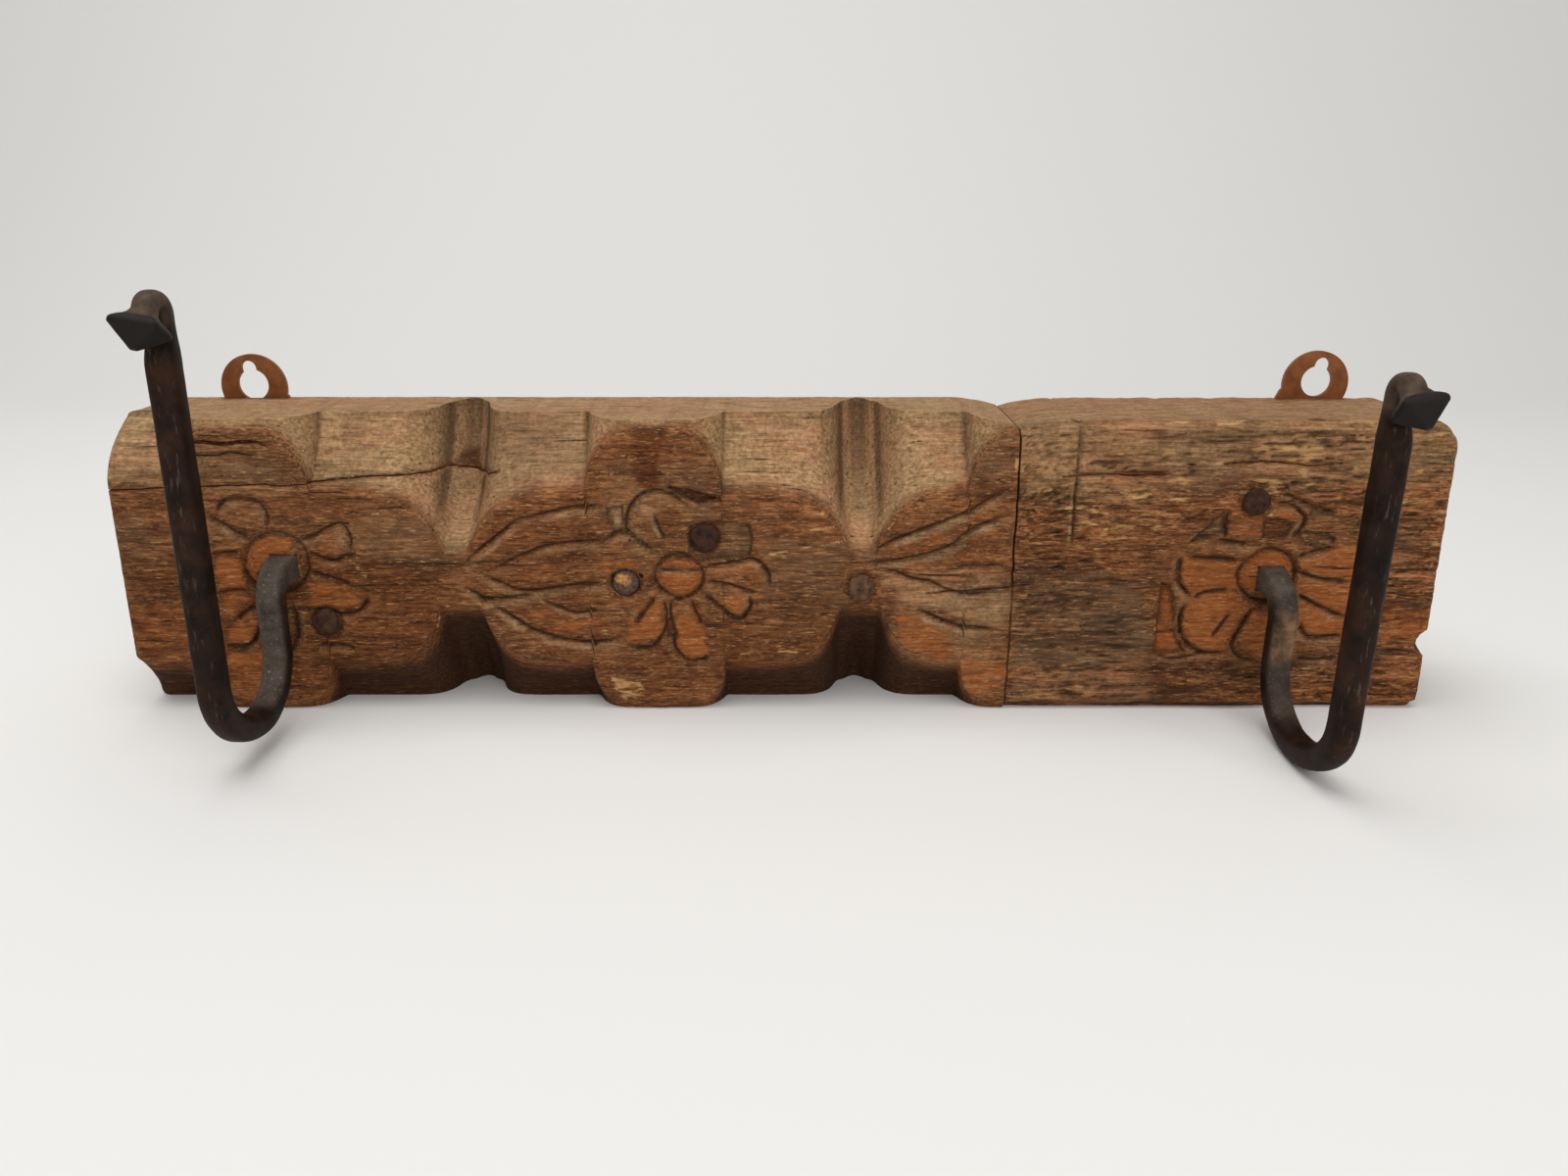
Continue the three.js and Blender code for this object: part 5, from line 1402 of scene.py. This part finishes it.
def forged_iron():
    finish = Finish("forged_iron_scaled", metallic=0.0, specular=0.1)
    scale = finish.noise((140, 140, 140), detail=6, roughness=0.6)
    grit = finish.noise((1500, 1500, 1500), roughness=0.7)
    scratch = finish.noise((900, 900, 160), detail=3, roughness=0.6)
    patch = finish.noise((55, 55, 55), detail=3)
    black = finish.ramp(scale, 0.32, 0.66, *BLACK_SCALE)
    brown = finish.ramp(scale, 0.32, 0.66, *BROWN_SCALE)
    iron = finish.blend(finish.ramp(patch, 0.42, 0.62, 0.0, 0.8), black, brown)
    # Slate grey round the root, and painted light on the bar's upward faces near the wood
    slate_and_lit = finish.ramp(scale, 0.32, 0.66, *SLATE_AND_LIT_IRON)
    iron = finish.blend(finish.times(finish.mark("grey"), 0.85), iron, slate_and_lit)
    rust = finish.ramp(scale, 0.34, 0.62, *RUST)
    iron = finish.blend(finish.patch("rust", scale, 0.36, 0.52, 0.4), iron, rust)
    dust = finish.ramp(scale, 0.36, 0.62, *DUSTY_IRON)
    iron = finish.blend(finish.patch("dust", patch, 0.36, 0.52, 0.35, 0.85), iron, dust)
    iron = finish.blend(finish.times(finish.mark("head"), 0.7), iron, HEAD_BLACK)
    iron = finish.blend(finish.patch("rubbed", scratch, 0.60, 0.70, 0.0, 0.5), iron, RUBBED_IRON)
    iron = finish.blend(finish.patch("grey", grit, 0.60, 0.66, 0.0, 0.6), iron, GREY_GRIT)
    iron = finish.blend(finish.ramp(grit, 0.70, 0.76, 0.0, 0.8), iron, PALE_GRIT)
    finish.colour(iron)
    finish.roughness(finish.ramp(scale, 0.3, 0.7, 0.45, 0.68))
    finish.bump([(scale, 0.35, 0.0006), (grit, 0.25, 0.00015)])
    return finish.material


def plain_metal(name, tones, roughest, smoothest, grain):
    finish = Finish(name, metallic=0.6, specular=0.35)
    cloud = finish.noise((grain, grain, grain), detail=5, roughness=0.6)
    grit = finish.noise((1800, 1800, 1800), detail=3, roughness=0.6)
    finish.colour(finish.ramp(cloud, 0.35, 0.65, *tones))
    finish.roughness(finish.ramp(grit, 0.3, 0.7, smoothest, roughest))
    finish.bump([(cloud, 0.3, 0.0003), (grit, 0.2, 0.0001)])
    return finish.material


def rusty_nail():
    finish = Finish("nail_iron_rusty", metallic=0.0, specular=0.12)
    cloud = finish.noise((420, 420, 420), detail=5, roughness=0.6)
    dark = finish.ramp(cloud, 0.35, 0.65, *DARK_NAIL)
    brown = finish.ramp(cloud, 0.35, 0.65, *BROWN_NAIL)
    finish.colour(finish.blend(finish.mark("browned"), dark, brown))
    finish.roughness(finish.ramp(cloud, 0.3, 0.7, 0.55, 0.8))
    finish.bump([(cloud, 0.3, 0.0004)])
    return finish.material


def plug_timber():
    finish = Finish("plug_timber_end", metallic=0.0, specular=0.25)
    fibre = finish.noise((900, 300, 900), detail=6, roughness=0.6)
    cloud = finish.noise((350, 350, 350), detail=3)
    rim = finish.ramp(fibre, 0.35, 0.65, *PLUG_RIM)
    core = finish.ramp(fibre, 0.35, 0.65, *PLUG_CORE)
    finish.colour(finish.blend(finish.patch("core", cloud, 0.36, 0.55, 0.6), rim, core))
    finish.roughness(finish.ramp(fibre, 0.3, 0.7, 0.9, 0.65))
    finish.bump([(fibre, 0.5, 0.0004)])
    return finish.material


# ---------------------------------------------------------------- set and light

def studio():
    """A plain pale floor that curves up into a backdrop."""
    finish = Finish("studio_pale", metallic=0.0, specular=0.5)
    finish.shader.inputs["Base Color"].default_value = FLOOR_COLOUR
    finish.shader.inputs["Roughness"].default_value = 0.9
    bm = bmesh.new()
    front = bm.edges.new([bm.verts.new((side * FLOOR_HALF, -FLOOR_HALF, 0)) for side in (-1, 1)])
    floor = bmesh.ops.extrude_edge_only(bm, edges=[front])
    bmesh.ops.translate(bm, vec=(0, FLOOR_HALF + SWEEP_RADIUS, 0), verts=of_kind(BMVert, floor))
    rim = [edge for edge in of_kind(BMEdge, floor) if edge.calc_length() > FLOOR_HALF + 1]
    swept = bmesh.ops.spin(bm, geom=rim + list(rim[0].verts), cent=(0, SWEEP_RADIUS, SWEEP_RADIUS),
                           axis=(1, 0, 0), angle=math.pi / 2, steps=16)
    last = [thing for thing in swept["geom_last"] if isinstance(thing, BMEdge)]
    backdrop = bmesh.ops.extrude_edge_only(bm, edges=last)
    bmesh.ops.translate(bm, vec=(0, 0, BACKDROP_RISE), verts=of_kind(BMVert, backdrop))
    bmesh.ops.translate(bm, vec=(0, 0, -TOP * MM), verts=bm.verts)
    for face in bm.faces:
        face.smooth = True
    mesh = bpy.data.meshes.new("studio_floor")
    bm.to_mesh(mesh)
    bm.free()
    mesh.materials.append(finish.material)
    put("studio_floor", mesh)


def light_scene():
    for name, spot, (width, height), power in LAMPS:
        light = bpy.data.lights.new(name, "AREA")
        light.shape = "RECTANGLE"
        light.size, light.size_y = width, height
        light.energy = power
        holder = put(name, light)
        holder.location = spot
        holder.rotation_euler = (-Vector(spot)).to_track_quat("-Z", "Y").to_euler()
    world = bpy.data.worlds.new("studio_world")
    world.use_nodes = True
    background = world.node_tree.nodes["Background"]
    background.inputs["Color"].default_value = WORLD_COLOUR
    background.inputs["Strength"].default_value = WORLD_STRENGTH
    bpy.context.scene.world = world


def place_camera():
    lens = bpy.data.cameras.new("photo_camera")
    lens.lens = CAMERA_LENS
    lens.sensor_width = CAMERA_SENSOR
    lens.clip_start = 0.01
    camera = put("photo_camera", lens)
    camera.location = CAMERA_PLACE
    camera.rotation_euler = (math.radians(90 - CAMERA_DOWN), 0, 0)
    bpy.context.scene.camera = camera


def dress_cad_node(name, material):
    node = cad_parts[name]
    node.data.materials.clear()
    node.data.materials.append(material)


place_camera()
bpy.context.scene.view_settings.view_transform = "Standard"

carving = carved_front()
board = combine(board_mesh(carving), board_seats(carving))
add_piece("carved_board_worn", board, old_timber(), "carved_board")

iron = forged_iron()
for number, hook in enumerate(HOOKS):
    bar = hook_mesh(hook, 70 + 20 * number)
    add_piece(hook["name"] + "_forged", bar, iron, hook["name"])

copper = plain_metal("coppered_steel_dull", COPPER_TONES, 0.55, 0.38, 200)
screw_steel = plain_metal("screw_steel_dull", SCREW_TONES, 0.6, 0.40, 800)
for side, *seat in PLATES:
    plate = "hanger_plate_" + side
    add_piece(plate + "_stamped", plate_mesh(*seat), copper, plate)
    for letter in "ab":
        dress_cad_node(f"hanger_screw_{side}_{letter}", screw_steel)

nail_iron = rusty_nail()
for number, (spot, x, z, browned) in enumerate(NAILS):
    nail = "face_nail_" + spot
    mesh = nail_mesh(x, z, browned, 140 + 10 * number)
    add_piece(nail + "_hammered", mesh, nail_iron, nail)
add_piece("hole_plug_worn", plug_mesh(*PLUG_PLACE), plug_timber(), "hole_plug")

studio()
light_scene()
